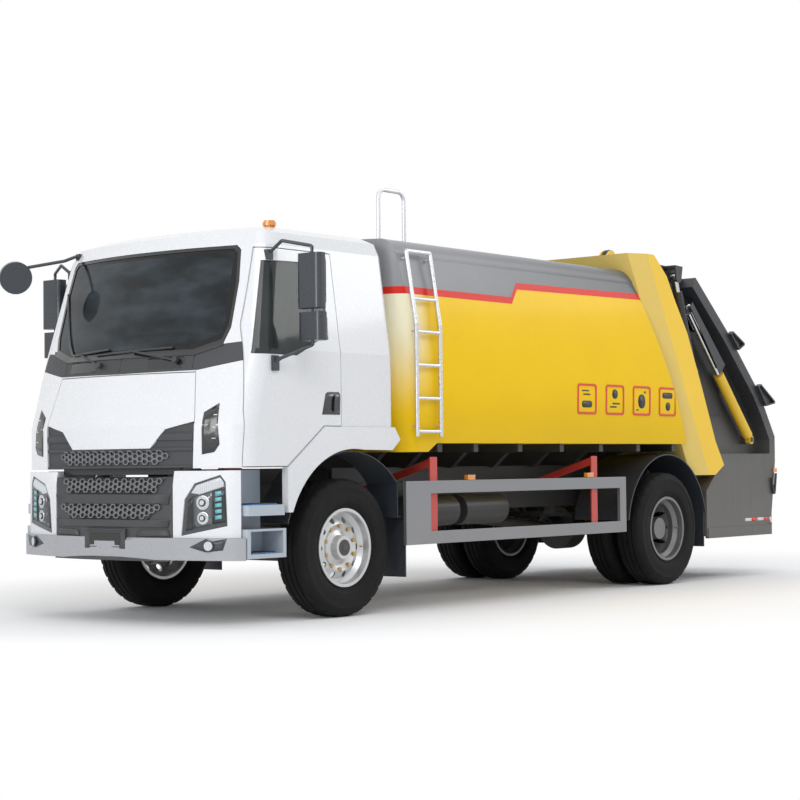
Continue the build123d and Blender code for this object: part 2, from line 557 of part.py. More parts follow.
LADDER_Y = (680.0, 980.0)
LADDER_X = 1275.0
LADDER_Z = (1370.0, 2840.0)
LADDER_RUNGS = 5
TUBE_R = 17.0
RAIL_TUBE_Y = (640.0, 960.0)
HOOP_X = BODY_HALF_TOP - ROOF_SHOULDER - 45
HOOP_TOP = 3350.0
with BuildPart() as ladder:
    for y in LADDER_Y:
        top_x = BODY_HALF_TOP + 55
        bar((LADDER_X, fa(y), LADDER_Z[0]), (LADDER_X, fa(y), 2250), TUBE_R)
        bar((LADDER_X, fa(y), 2250), (top_x, fa(y), LADDER_Z[1]), TUBE_R)
        for z in (1450.0, 2200.0):
            cross_bar(body_half(z) + 7.0, LADDER_X, fa(y), z, 10)
        z = LADDER_Z[1] - 60
        cross_bar(body_half(z - 12) + 3.0, top_x, fa(y), z, 12)
    bar((top_x, fa(LADDER_Y[0]), LADDER_Z[1]), (top_x, fa(LADDER_Y[1]), LADDER_Z[1]), TUBE_R)
    for rung in range(LADDER_RUNGS):
        z = LADDER_Z[0] + 40 + rung * 262
        x = LADDER_X if z < 2250 else LADDER_X + (top_x - LADDER_X) * (z - 2250) / (LADDER_Z[1] - 2250)
        bar((x, fa(LADDER_Y[0]), z), (x, fa(LADDER_Y[1]), z), 14)
    roof_x = BODY_HALF_TOP - ROOF_SHOULDER + 10
    foot_z = BODY_TOP + BODY_CROWN * (1 - ((HOOP_X - TUBE_R) / roof_x) ** 2) + SEAT
    pipe_run([(HOOP_X, fa(RAIL_TUBE_Y[0]), foot_z), (HOOP_X, fa(RAIL_TUBE_Y[0]), HOOP_TOP),
              (HOOP_X, fa(RAIL_TUBE_Y[1]), HOOP_TOP), (HOOP_X, fa(RAIL_TUBE_Y[1]), foot_z)], 70, TUBE_R)
keep(ladder, "ladder")

# ---------------------------------------------------------------- chassis fittings
GUARD_X = (1190.0, 1220.0)
GUARD_Y = (600.0, 3760.0)
GUARD_Z = (520.0, 1020.0)
GUARD_OPENING_Y = (910.0, 3660.0)
GUARD_BAND = 100.0
HANGER_Y = [985.0, 3290.0]
HANGER_RISE = 1290.0
MUDGUARD_R = 700.0
MUDGUARD_X = (620.0, 1215.0)
ARCH_R = 735.0
ARCH_X = (860.0, 1170.0)
FLAP_Y = 640.0
FLAP_LOW = 270.0

with BuildPart() as side_guards:
    for side in (1, -1):
        x0, x1 = sorted((side * GUARD_X[0], side * GUARD_X[1]))
        block(x0, x1, fa(GUARD_Y[0]), fa(GUARD_Y[1]), *GUARD_Z)
        block(x0, x1, fa(GUARD_OPENING_Y[0]), fa(GUARD_OPENING_Y[1]), GUARD_Z[0] + GUARD_BAND,
              GUARD_Z[1] - GUARD_BAND,
              Mode.SUBTRACT)
keep(side_guards, "side_guards")

with BuildPart() as guard_hangers:
    for side in (1, -1):
        for y in HANGER_Y:
            x1 = side * (GUARD_X[0] - 0.3)
            block(x1, x1 - side * 12, fa(y - 45), fa(y + 45), GUARD_Z[0] + 30, HANGER_RISE - 80)
            arm = [(x1, HANGER_RISE - 80), (x1, HANGER_RISE - 150),
                   (side * (RAIL_X + 150), HANGER_RISE - 330),
                   (side * (RAIL_X + 0.3), HANGER_RISE - 400), (side * (RAIL_X + 0.3), HANGER_RISE - 320)]
            with BuildSketch(Plane.XZ.offset(-fa(y - 6))) as web:
                outline(arm)
            extrude(web.sketch, amount=-12)
keep(guard_hangers, "guard_hangers")


def arch_band(axle_y, radius, wall, x0, x1, start, stop):
    """Curved plate round a wheel between two angles above +Y."""
    a, b = (axle_y, TYRE_R), (start + stop) / 2
    with BuildSketch(Plane.YZ.offset(min(x0, x1))) as band:
        with BuildLine() as run:
            inner = ThreePointArc(along(a, start, radius), along(a, b, radius), along(a, stop, radius))
            outer = ThreePointArc(along(a, start, radius + wall), along(a, b, radius + wall),
                                  along(a, stop, radius + wall))
            Line(inner @ 0, outer @ 0)
            Line(inner @ 1, outer @ 1)
        make_face(run.edges())
    extrude(band.sketch, amount=abs(x1 - x0))


with BuildPart() as rear_mudguards:
    for side in (1, -1):
        x0, x1 = side * MUDGUARD_X[0], side * MUDGUARD_X[1]
        arch_band(REAR_AXLE_Y, MUDGUARD_R - 12, 12, x0, x1, 12, 172)
        block(x0 + side * 30, x1 - side * 20, ra(MUDGUARD_R - 32), ra(MUDGUARD_R - 20), FLAP_LOW + 60,
              TYRE_R + 160)
        for y in (-420.0, 420.0):
            low = TYRE_R + (MUDGUARD_R ** 2 - y ** 2) ** 0.5 - 8
            cross_bar(side * (RAIL_X + 0.3), x0 + side * 120, ra(y), RAIL_TOP - 60, 20)
            bar((x0 + side * 100, ra(y), RAIL_TOP - 60), (x0 + side * 100, ra(y), low), 20)
keep(rear_mudguards, "rear_mudguards")

with BuildPart() as wheel_arches:
    for side in (1, -1):
        x0, x1 = side * ARCH_X[0], side * ARCH_X[1]
        arch_band(FRONT_AXLE_Y, ARCH_R - 8, 8, x0, x1, 40, 164)
        flap_top = TYRE_R + ARCH_R * sin(radians(40))
        block(x0, x1, fa(FLAP_Y - 92), fa(FLAP_Y - 80), flap_top - 260, flap_top + 6)
        block(x0, x1, fa(FLAP_Y - 92), fa(FLAP_Y + 12), flap_top - 260, flap_top - 248)
        block(x0, x1, fa(FLAP_Y), fa(FLAP_Y + 12), FLAP_LOW, flap_top - 248)
        cross_bar(side * (RAIL_X + 0.3), side * (ARCH_X[0] + 80), fa(FLAP_Y - 30), flap_top - 254, 16)
keep(wheel_arches, "wheel_arches")

TANK_Y = (1250.0, 2350.0)
TANK_Z = (490.0, 1010.0)
with BuildPart() as fuel_tank:
    with BuildSketch(Plane.XZ.offset(-fa(TANK_Y[0]))) as tank_end:
        with Locations((-(RAIL_X + 370), sum(TANK_Z) / 2)):
            RectangleRounded(620, TANK_Z[1] - TANK_Z[0], 110)
    extrude(tank_end.sketch, amount=-(TANK_Y[1] - TANK_Y[0]))
    for y in (TANK_Y[0] + 180, TANK_Y[1] - 180):
        block(-(RAIL_X + 80), -(RAIL_X + 0.3), fa(y - 35), fa(y + 35), TANK_Z[0] + 120, TANK_Z[1] - 60)
keep(fuel_tank, "fuel_tank")

AIR_TANK_R = 130.0
with BuildPart() as air_tanks:
    for y0, y1 in ((1300.0, 1900.0), (2000.0, 2600.0)):
        centre = (RAIL_X + 190, 760.0)
        bar((centre[0], fa(y0), centre[1]), (centre[0], fa(y1), centre[1]), AIR_TANK_R)
        for y in (y0 + 120, y1 - 120):
            block(RAIL_X + 0.3, RAIL_X + 90, fa(y - 20), fa(y + 20), centre[1] - 40, centre[1] + 120)
keep(air_tanks, "air_tanks")

with BuildPart() as silencer:
    bar((-(RAIL_X + 290), fa(2520), 760), (-(RAIL_X + 290), fa(3260), 760), 230)
    bar((-(RAIL_X + 290), fa(3250), 760), (-(RAIL_X + 290), fa(3420), 760), 60)
    for y in (2680.0, 3100.0):
        block(-(RAIL_X + 100), -(RAIL_X + 0.3), fa(y - 25), fa(y + 25), 760, 900)
keep(silencer, "silencer")

# ---------------------------------------------------------------- bumper and lower front
BUMPER_Z = (480.0, 640.0)
BUMPER_END = -1175.0
GRILLE_TOP = 1080.0
GRILLE_HALF = 640.0
SURROUND_HALF = 1200.0
LAMP_Z = (BUMPER_Z[1] + SEAT, 1122.0)
LAMP_BACK = -1190.0
# headlamp outline: distance from the middle, height
LAMP_WINDOW = [(708.0, 654.0), (738.0, 916.0), (820.0, 1031.0), (1025.0, 1092.0), (1064.0, 1040.0),
               (1075.0, 726.0)]
FINS = 12
ARM_X = (300.0, 345.0)       # cab's tilt arms


def nose_plan(front, half, inset=0.0, back=-1000.0, corner=CORNER_RADIUS):
    """Plan outline of the truck's face: one wide arc with rounded corners, moved in by inset."""
    edge = fa(front) + half ** 2 / (2 * NOSE_RADIUS)
    with BuildSketch(Plane.XY) as plan:
        with BuildLine() as run:
            ThreePointArc((-half, edge), (0, fa(front)), (half, edge))
            Polyline((half, edge), (half, fa(back)), (-half, fa(back)), (-half, edge))
        make_face(run.edges())
        fillet(plan.vertices().group_by(Axis.Y)[0], corner)
        if inset:
            offset(amount=-inset)
    return plan.sketch


def shell_from_side(points, front, half, wall, corner=CORNER_RADIUS):
    """Curved front panel: a side outline swept over the width, cut to the plan, with an even wall."""
    with BuildPart() as hollow:
        side_slab(from_front([(y + wall, z) for y, z in points]), -half, half)
        extrude(nose_plan(front, half, wall, back=-900.0, corner=corner), amount=3000, mode=Mode.INTERSECT)
    with BuildPart() as panel:
        side_slab(from_front(points), -half, half)
        extrude(nose_plan(front, half, 0, corner=corner), amount=3000, mode=Mode.INTERSECT)
        add(hollow.part, mode=Mode.SUBTRACT)
    return panel.part


nose = -FRONT_OVERHANG
with BuildPart() as bumper:
    lip = [(nose, BUMPER_Z[0] + 20), (nose, BUMPER_Z[1] - 30), (nose + 30, BUMPER_Z[1]),
           (BUMPER_END, BUMPER_Z[1]),
           (BUMPER_END, BUMPER_Z[0]), (nose + 40, BUMPER_Z[0])]
    add(shell_from_side(lip, nose, FRAME_HALF - 15, 60))
    for side in (1, -1):
        block(side * 600, side * 650, fa(FRONT_BEAM_Y[0] - 45), fa(FRONT_BEAM_Y[0] - SEAT),
              BUMPER_Z[0] + 20, BUMPER_Z[1] - 10)
keep(bumper, "bumper")

with BuildPart() as lower_grille:
    foot_z = BUMPER_Z[1] + SEAT
    face = [(nose + 22, foot_z), (nose + 95, GRILLE_TOP), (nose + 500, GRILLE_TOP), (nose + 500, foot_z)]
    add(shell_from_side(face, nose + 22, GRILLE_HALF, 55, corner=30))
    block(-GRILLE_HALF, GRILLE_HALF, fa(FRONT_BEAM_Y[0] - 5), fa(0), 0, 3000, Mode.SUBTRACT)
    block(-400, 400, fa(FRONT_BEAM_Y[0] - 80), fa(FRONT_BEAM_Y[0] - SEAT), BUMPER_Z[1] + 5,
          FRONT_BEAM_Z[1] - 5)
    for side in (1, -1):
        block(side * (ARM_X[1] + 15), side * (GRILLE_HALF - 40), fa(FRONT_BEAM_Y[0] - 12),
              fa(FRONT_BEAM_Y[0] - 5),
              foot_z, GRILLE_TOP - 5)
keep(lower_grille, "lower_grille")

RADIATOR_Z = (FRONT_BEAM_Z[1] + SEAT, 1044.0)
with BuildPart() as radiator:
    block(10 - ARM_X[0], ARM_X[0] - 10, fa(FRONT_BEAM_Y[0]), fa(FRONT_BEAM_Y[1]), *RADIATOR_Z)
    for fin in range(FINS):
        z = RADIATOR_Z[0] + 20 + fin * (RADIATOR_Z[1] - RADIATOR_Z[0] - 40) / (FINS - 1)
        block(30 - ARM_X[0], ARM_X[0] - 30, fa(FRONT_BEAM_Y[0] - 8), fa(FRONT_BEAM_Y[0] + 1), z - 5, z + 5)
keep(radiator, "radiator")


def lamp_prism(side, margin=0.0):
    """Space inside a headlamp's outline, right through the corner panel."""
    with BuildPart() as prism:
        with BuildSketch(Plane.XZ.offset(-fa(LAMP_BACK))) as face:
            outline([(side * x, z) for x, z in LAMP_WINDOW])
            if margin:
                offset(amount=-margin, kind=Kind.INTERSECTION)
        extrude(face.sketch, amount=1000)
    return prism.part


with BuildPart() as lamp_surrounds:
    corner_face = [(nose + 26, LAMP_Z[0]), (nose + 105, LAMP_Z[1]), (nose + 500, LAMP_Z[1]),
                   (nose + 500, LAMP_Z[0])]
    add(shell_from_side(corner_face, nose + 26, SURROUND_HALF, 70))
    block(-GRILLE_HALF - SEAT, GRILLE_HALF + SEAT, fa(-2000), fa(0), 0, 3000, Mode.SUBTRACT)
    block(-2000, 2000, fa(BUMPER_END), fa(0), 0, 3000, Mode.SUBTRACT)
    for side in (1, -1):
        add(lamp_prism(side), mode=Mode.SUBTRACT)
keep(lamp_surrounds, "lamp_surrounds")

with BuildPart() as headlamps:
    lens_face = [(nose + 34, LAMP_Z[0]), (nose + 113, LAMP_Z[1]), (nose + 500, LAMP_Z[1]),
                 (nose + 500, LAMP_Z[0])]
    add(shell_from_side(lens_face, nose + 34, SURROUND_HALF - 8, 80))
    with BuildPart(mode=Mode.PRIVATE) as windows:
        for side in (1, -1):
            add(lamp_prism(side, SEAT))
    add(windows.part, mode=Mode.INTERSECT)
keep(headlamps, "headlamps")

# ---------------------------------------------------------------- cab
# columns: height, front at the middle, half width, front corner radius
CAB_SECTIONS = [(CAB_SILL_Z - 7, CAB_NOSE, CAB_HALF, CORNER_RADIUS),
                (1450.0, CAB_NOSE, CAB_HALF, CORNER_RADIUS),
                (1800.0, CAB_NOSE + 100, CAB_HALF, CORNER_RADIUS), (CAB_BELT_Z, CAB_NOSE + 155,
                                                                    CAB_HALF - 3, CORNER_RADIUS),
                (2780.0, CAB_NOSE + 368, CAB_HALF - ROOF_LEAN, CORNER_RADIUS),
                (2880.0, CAB_NOSE + 430, CAB_HALF - ROOF_LEAN - 50, CORNER_RADIUS - 10),
                (CAB_ROOF_Z - 8, CAB_NOSE + 560, CAB_HALF - ROOF_LEAN - 140, CORNER_RADIUS - 20),
                (CAB_ROOF_Z + 8, CAB_NOSE + 800, CAB_HALF - ROOF_LEAN - 340, CORNER_RADIUS - 40)]
REAR_CORNER = 60.0


def cab_section(z, front, half, corner, back):
    """Plan outline of the cab: a wide front arc, rounded front corners and a flat back."""
    edge = fa(front) + half ** 2 / (2 * NOSE_RADIUS)
    with BuildSketch(Plane.XY.offset(z)) as section:
        with BuildLine() as run:
            ThreePointArc((-half, edge), (0, fa(front)), (half, edge))
            Polyline((half, edge), (half, fa(back)), (-half, fa(back)), (-half, edge))
        make_face(run.edges())
        fillet(section.vertices().group_by(Axis.Y)[0], corner)
        fillet(section.vertices().group_by(Axis.Y)[-1], REAR_CORNER)
    return section.sketch


def cab_volume(inset):
    """The cab's outer form moved in by inset on every side."""
    top = CAB_SECTIONS[-1][0]
    sections = []
    for row, (z, front, half, corner) in enumerate(CAB_SECTIONS):
        level = z + inset if row == 0 else z - inset * max(0.0, (z - CAB_BELT_Z) / (top - CAB_BELT_Z))
        back = CAB_BACK - inset - (60 if row > 5 else 0)
        sections.append(cab_section(level, front + inset, half - inset, corner - inset, back))
    with BuildPart() as volume:
        loft(sections, ruled=True)
        under = from_front([(-736, CAB_SILL_Z - 7 + inset), (-333, CAB_ARCH_Z + inset),
                            (CAB_BACK + 100, CAB_ARCH_Z + inset),
                            (CAB_BACK + 100, CAB_SILL_Z - 200), (-736, CAB_SILL_Z - 200)])
        side_slab(under, -2 * CAB_HALF, 2 * CAB_HALF, Mode.SUBTRACT)
    return volume.part


def front_window(points):
    """Solid that reaches from a front outline through the cab's face."""
    with BuildPart() as through:
        with BuildSketch(Plane.XZ.offset(-fa(-700))) as face:
            outline(points)
        extrude(face.sketch, amount=1200)
    return through.part


def mirrored(points):
    """Right half of an outline, then its mirror image back to the start."""
    return points + [(-x, z) for x, z in reversed(points)]


CAB_OUTER = cab_volume(0)
POCKET = 36.0                # depth of the recess behind the front flap
LAYERS = {inset: cab_volume(inset) for inset in (8.0, 8.0 + GLASS, 14.0, PANEL, POCKET, CAB_WALL)}


SKINS = {}


def skin(outer_inset, inner_inset):
    """Layer of the cab's form between two insets."""
    if (outer_inset, inner_inset) not in SKINS:
        with BuildPart() as layer:
            add(LAYERS[outer_inset] if outer_inset else CAB_OUTER)
            add(LAYERS[inner_inset], mode=Mode.SUBTRACT)
        SKINS[(outer_inset, inner_inset)] = layer.part
    return SKINS[(outer_inset, inner_inset)]


def face_piece(points, outer_inset, inner_inset, margin=0.0, rear=-600.0):
    """Part of the cab's front layer inside a front outline."""
    with BuildPart() as piece:
        with BuildSketch(Plane.XZ.offset(-fa(rear))) as face:
            outline(points)
            if margin:
                offset(amount=margin, kind=Kind.INTERSECTION)
        extrude(face.sketch, amount=1200)
        add(skin(outer_inset, inner_inset), mode=Mode.INTERSECT)
    return piece.part


SCREEN = mirrored([(700.0, 1985.0), (920.0, 2050.0), (955.0, 2160.0), (950.0, 2500.0), (918.0, 2740.0),
                   (880.0, 2775.0)])
COWL = mirrored([(0.0, 1846.0), (745.0, 1853.0), (1100.0, 1915.0), (1150.0, 2060.0), (927.0, 2040.0),
                 (702.0, 1975.0)])
PANEL_TOP = 1836.0
PANEL_EDGE = [(804.0, 1478.0), (560.0, 1424.0), (425.0, 1287.0)]   # between white panel and grille
WHITE_PANEL = mirrored([(733.0, PANEL_TOP)] + PANEL_EDGE)
GRILLE_FACE = mirrored([(x, z - 2 * SEAT) for x, z in reversed(PANEL_EDGE)] + [(790.0, CAB_SILL_Z - 2)])
GRILLE_BARS = [(1160.0, CAB_SILL_Z - 2, 790.0), (1290.0, 1268.0, 796.0), (1394.0, 1345.0, 800.0)]
FLAP_OUTLINE = mirrored([(733.0, PANEL_TOP), PANEL_EDGE[0], (790.0, CAB_SILL_Z - 60)])

FLAP_REAR = -1150.0          # rear limit of the front flap's recess, from the front axle
COWL_REAR = -1000.0

# door and window outlines from the front axle
DOOR_TOP = [(-1137.0, 1546.0), (-1030.0, 2173.0), (-870.0, 2750.0), (DOOR_REAR, 2750.0)]
DOOR = [(-1157.0, CAB_SILL_Z + 3)] + DOOR_TOP + [(DOOR_REAR, CAB_ARCH_Z + 5), (-335.0, CAB_ARCH_Z + 5),
                                                 (-738.0, CAB_SILL_Z + 3)]
FLOOR_CLEAR = CAB_WALL + 8   # the deep part of a door stays above the cab's floor
DOOR_DEEP = [(-1157.0, CAB_SILL_Z + FLOOR_CLEAR)] + DOOR_TOP + [
    (DOOR_REAR, CAB_ARCH_Z + FLOOR_CLEAR), (-355.0, CAB_ARCH_Z + FLOOR_CLEAR),
    (-758.0, CAB_SILL_Z + FLOOR_CLEAR)]
REBATE = 8.0                 # step in the door's rear edge behind its outer layer
SIDE_WINDOW = [(-1040.0, 1962.0), (-857.0, 2655.0), (-240.0, 2672.0), (-255.0, 2094.0), (-375.0, 2079.0),
               (-620.0, 1960.0)]


def door_region(margin, side):
    """Space that a door takes out of the cab's side wall."""
    with BuildPart() as region:
        for x_low, points in ((CAB_HALF - CAB_WALL, DOOR), (CAB_HALF - 300, DOOR_DEEP)):
            with BuildSketch(Plane.YZ.offset(side * x_low)) as shape:
                outline(from_front(points))
                if margin:
                    offset(amount=margin, kind=Kind.INTERSECTION)
            extrude(shape.sketch, amount=side * 400)
    return region.part


with BuildPart() as cab_shell:
    add(skin(0, CAB_WALL))
    for side in (1, -1):
        add(door_region(SEAM, side), mode=Mode.SUBTRACT)
    add(face_piece(SCREEN, 0, 8.0 + GLASS, 0.4), mode=Mode.SUBTRACT)
    add(face_piece(SCREEN, 0, CAB_WALL, -28.0), mode=Mode.SUBTRACT)
    add(face_piece(COWL, 0, PANEL, 0.4, COWL_REAR), mode=Mode.SUBTRACT)
    add(face_piece(FLAP_OUTLINE, 0, POCKET, SEAM, FLAP_REAR), mode=Mode.SUBTRACT)
    arm = from_front([(TILT_Y, TILT_Z - 45), (TILT_Y + 160, TILT_Z - 20), (TILT_Y + 280, TILT_Z + 80),
                      (TILT_Y + 310, CAB_SILL_Z + 3), (TILT_Y + 160, CAB_SILL_Z + 3), (TILT_Y + 205,
                                                                                       TILT_Z + 160),
                      (TILT_Y + 150, TILT_Z + 75), (TILT_Y, TILT_Z + 45), (TILT_Y - 38, TILT_Z + 25),
                      (TILT_Y - 38, TILT_Z - 25)])
    for side in (1, -1):
        side_slab(arm, *sorted((side * ARM_X[0], side * ARM_X[1])))
    cross_bar(-CAB_HALF, CAB_HALF, fa(TILT_Y), TILT_Z, TILT_PIN_R + 1, Mode.SUBTRACT)
keep(cab_shell, "cab_shell")

with BuildPart() as windscreen:
    add(face_piece(SCREEN, 8.0, 8.0 + GLASS))
keep(windscreen, "windscreen")

with BuildPart() as cowl:
    add(face_piece(COWL, 0, PANEL, 0.0, COWL_REAR))
    for side in (1, -1):
        add(door_region(SEAM, side), mode=Mode.SUBTRACT)
keep(cowl, "cowl")

with BuildPart() as cab_front_panel:
    add(face_piece(WHITE_PANEL, 0, PANEL, 0.0, FLAP_REAR))
keep(cab_front_panel, "cab_front_panel")

with BuildPart() as upper_grille:
    add(face_piece(GRILLE_FACE, 14.0, PANEL, 0.0, FLAP_REAR))
    for top, low, half in GRILLE_BARS:
        band = [(-half, low), (half, low), (half, top), (-half, top)]
        with BuildPart(mode=Mode.PRIVATE) as bar_piece:
            add(face_piece(band, 0, PANEL, 0.0, FLAP_REAR))
            add(front_window(GRILLE_FACE), mode=Mode.INTERSECT)
        add(bar_piece.part)
keep(upper_grille, "upper_grille")

ARCH_OPEN_R = ARCH_R + 15
with BuildPart() as cab_fenders:
    hub = (FRONT_AXLE_Y, TYRE_R)
    tip, crest, foot_end = (along(hub, angle, ARCH_OPEN_R) for angle in (82, 120, 157.5))
    for side in (1, -1):
        with BuildSketch(Plane.YZ.offset(side * (CAB_HALF - 50))) as fender:
            with BuildLine() as run:
                ThreePointArc(tip, crest, foot_end)
                Polyline(foot_end, (fa(-742), foot_end[1]), (fa(-742), CAB_SILL_Z - 8),
                         (fa(-735), CAB_SILL_Z - 8),
                         (fa(-332), CAB_ARCH_Z - 0.5),
                         (fa(CAB_BACK - 10), CAB_ARCH_Z - 0.5), (fa(545), 1346), (fa(448), 1264), tip)
            make_face(run.edges())
        extrude(fender.sketch, amount=side * 62)
keep(cab_fenders, "cab_fenders")

SEAT_X = [560.0, -560.0]
FLOOR_Z = CAB_ARCH_Z + CAB_WALL
with BuildPart() as cab_interior:
    for x in SEAT_X:
        block(x - 210, x + 210, fa(-290), fa(180), FLOOR_Z + 0.3, FLOOR_Z + 210)
        block(x - 250, x + 250, fa(-330), fa(200), FLOOR_Z + 205, FLOOR_Z + 330)
        seat_back = from_front([(120, FLOOR_Z + 320), (230, FLOOR_Z + 320), (340, FLOOR_Z + 980),
                                (250, FLOOR_Z + 980)])
        side_slab(seat_back, x - 240, x + 240)
        rest_front = from_front([(265, FLOOR_Z + 975), (345, FLOOR_Z + 975), (365, FLOOR_Z + 1160),
                                 (295, FLOOR_Z + 1160)])
        side_slab(rest_front, x - 120, x + 120)
    with BuildPart(mode=Mode.PRIVATE) as dash:
        facia = from_front([(-1400, 1560), (-900, 1560), (-850, 1640), (-880, 1850), (-960, 1930),
                            (-1400, 1965)])
        side_slab(facia, -1400, 1400)
        with BuildPart(mode=Mode.PRIVATE) as room:
            add(LAYERS[CAB_WALL])
            add(door_region(CAB_WALL + 30, 1), mode=Mode.SUBTRACT)
            add(door_region(CAB_WALL + 30, -1), mode=Mode.SUBTRACT)
        add(room.part, mode=Mode.INTERSECT)
    add(dash.part)
    wheel_centre = (SEAT_X[0], fa(-640), 1960)
    column_foot = (SEAT_X[0], fa(-860), 1760)
    tilt = Plane(origin=wheel_centre, z_dir=Vector(*wheel_centre) - Vector(*column_foot))
    bar(column_foot, wheel_centre, 28)
    with Locations(tilt):
        Torus(215, 16)
        Box(420, 30, 18)
keep(cab_interior, "cab_interior")

with BuildPart() as roof_beacon:
    with Locations((870, fa(-560), CAB_ROOF_Z + 27)):
        Cylinder(52, 24)
    with Locations((870, fa(-560), CAB_ROOF_Z + 38)):
        Cylinder(44, 30)
    block(870 - 30, 870 + 30, fa(-590), fa(-530), CAB_ROOF_Z - 6, CAB_ROOF_Z + 18)
    add(CAB_OUTER, mode=Mode.SUBTRACT)
keep(roof_beacon, "roof_beacon")

DISH = (-1216.0, fa(-1275), 2660.0)   # back of the round front mirror
DISH_AXIS = (0.855, -0.453, -0.252)
DISH_DEPTH = 40.0
with BuildPart() as front_mirror:
    bar(DISH, tuple(DISH[i] + DISH_DEPTH * DISH_AXIS[i] for i in range(3)), 128)
    pipe_run([(-905, fa(-870), 2845), (-950, fa(-1000), 2790), (-1140, fa(-1210), 2738),
              (DISH[0] + 4, DISH[1], 2700)], 18, 13)
    block(-925, -885, fa(-900), fa(-850), 2800, 2850)
    add(CAB_OUTER, mode=Mode.SUBTRACT)
keep(front_mirror, "front_mirror")

# mirror heads: x middle, y middle, low z, high z
MIRROR_X = 1420.0
MIRROR_HEADS = [(-700.0, 2290.0, 2690.0), (-690.0, 2055.0, 2262.0)]
MIRROR_HALF = (110.0, 50.0)
for name, side in (("l", 1), ("r", -1)):
    with BuildPart() as door:
        add(skin(0, CAB_WALL))
        add(door_region(0, side), mode=Mode.INTERSECT)
        both_slabs(from_front(SIDE_WINDOW), 500, 1400, Mode.SUBTRACT)
        with BuildPart(mode=Mode.PRIVATE) as rebate:
            block(side * 500, side * 1400, fa(DOOR_REAR - REBATE), fa(DOOR_REAR + 10), 0, 3000)
            add(LAYERS[PANEL], mode=Mode.INTERSECT)
        add(rebate.part, mode=Mode.SUBTRACT)
    keep(door, f"door_{name}")

    with BuildPart() as door_glass:
        with BuildSketch(Plane.YZ.offset(side * 600)) as pane:
            outline(from_front(SIDE_WINDOW))
            offset(amount=-0.3, kind=Kind.INTERSECTION)
        extrude(pane.sketch, amount=side * 700)
        add(skin(8.0, 8.0 + GLASS), mode=Mode.INTERSECT)
    keep(door_glass, f"door_glass_{name}")

    with BuildPart() as mirror:
        for y, low, high in MIRROR_HEADS:
            with BuildSketch(Plane.XY.offset(low)) as head:
                with Locations((side * MIRROR_X, fa(y))):
                    RectangleRounded(2 * MIRROR_HALF[0], 2 * MIRROR_HALF[1], 38)
            extrude(head.sketch, amount=high - low)
        bar((side * MIRROR_X, fa(-695), 2040), (side * MIRROR_X, fa(-695), 2745), 12)
        pipe_run([(side * 1080, fa(-800), 2700), (side * 1220, fa(-800), 2790),
                  (side * MIRROR_X, fa(-695), 2745),
                  (side * MIRROR_X, fa(-695), 2720)], 20, 13)
        pipe_run([(side * MIRROR_X, fa(-695), 2060), (side * MIRROR_X, fa(-695), 2025),
                  (side * 1260, fa(-860), 1930),
                  (side * 1205, fa(-870), 1900)], 15, 13)
        block(side * 1199, side * 1225, fa(-900), fa(-840), 1840, 1950)
        block(side * 1050, side * 1110, fa(-825), fa(-775), 2660, 2735)
        add(CAB_OUTER, mode=Mode.SUBTRACT)
    keep(mirror, f"mirror_{name}")

# steps: front, rear, low, high, from the front axle
STEPS = [(-1155.0, -780.0, 795.0, 872.0), (-1165.0, -765.0, 490.0, 700.0)]
STEP_X = (930.0, 1208.0)
STEP_RIM = 32.0
with BuildPart() as cab_steps:
    for side in (1, -1):
        for front_y, back_y, low, high in STEPS:
            block(side * STEP_X[0], side * STEP_X[1], fa(front_y), fa(back_y), low, high)
        front_y, back_y, low, high = STEPS[1]
        block(side * (STEP_X[0] + 2 * STEP_RIM), side * (STEP_X[1] + 10), fa(front_y + STEP_RIM),
              fa(back_y - STEP_RIM),
              low + STEP_RIM, high - STEP_RIM / 2, Mode.SUBTRACT)
        block(side * STEP_X[0], side * (STEP_X[0] + STEP_RIM), fa(-1155), fa(-780), 690, CAB_SILL_Z - 22)
        block(side * (RAIL_X + SEAT), side * (STEP_X[0] + 10), fa(-1080), fa(-1000), 800, 860)
keep(cab_steps, "cab_steps")


# ---------------------------------------------------------------- tailgate
DOWN = (cos(radians(SLIDE_ANGLE)), -sin(radians(SLIDE_ANGLE)))   # carriage path in the side view
OUT = (sin(radians(SLIDE_ANGLE)), cos(radians(SLIDE_ANGLE)))     # square to it, outwards
TRUNNION = (520.0, 2624.0)   # carriage's side pin when up, from the rear axle
PIN_R = 25.0
EYE_R = 45.0
FIT = 0.5                    # radial clearance of a pin in its eye


def slide_point(start, down, out=0.0):
    """Point at distances along and square to the carriage path, in the frame."""
    return (ra(start[0]) + down * DOWN[0] + out * OUT[0], start[1] + down * DOWN[1] + out * OUT[1])


SLOPE = [(450.0, 3020.0), (1150.0, 2440.0), (1730.0, 1890.0), (1890.0, 1690.0), (2090.0, 1400.0)]
TAIL_FRONT = [(850.0, 1000.0), (1020.0, 1100.0), (850.0, 1350.0), (610.0, 1860.0), (350.0, 2380.0),
              (140.0, 2670.0),
              (-10.0, 2900.0)]
TAIL_SIDE = [(-30.0, 3050.0)] + SLOPE + [(2090.0, 1140.0), (2000.0, 610.0), (1990.0, HOPPER_FLOOR),
             (700.0, HOPPER_FLOOR), (700.0, 860.0)] + TAIL_FRONT
FRONT_RIB = TAIL_FRONT[1:] + [(110.0, 2960.0), (250.0, 2740.0), (462.0, 2444.0), (722.0, 1924.0),
                              (960.0, 1420.0),
                              (1110.0, 1180.0)]
REAR_RIB = [(560.0, 2929.0)] + SLOPE[1:] + [(2090.0, 1220.0), (1980.0, 1220.0), (1980.0, 1370.0),
                                            (1805.0, 1622.0),
            (1652.0, 1812.0), (1076.0, 2356.0), (500.0, 2835.0)]
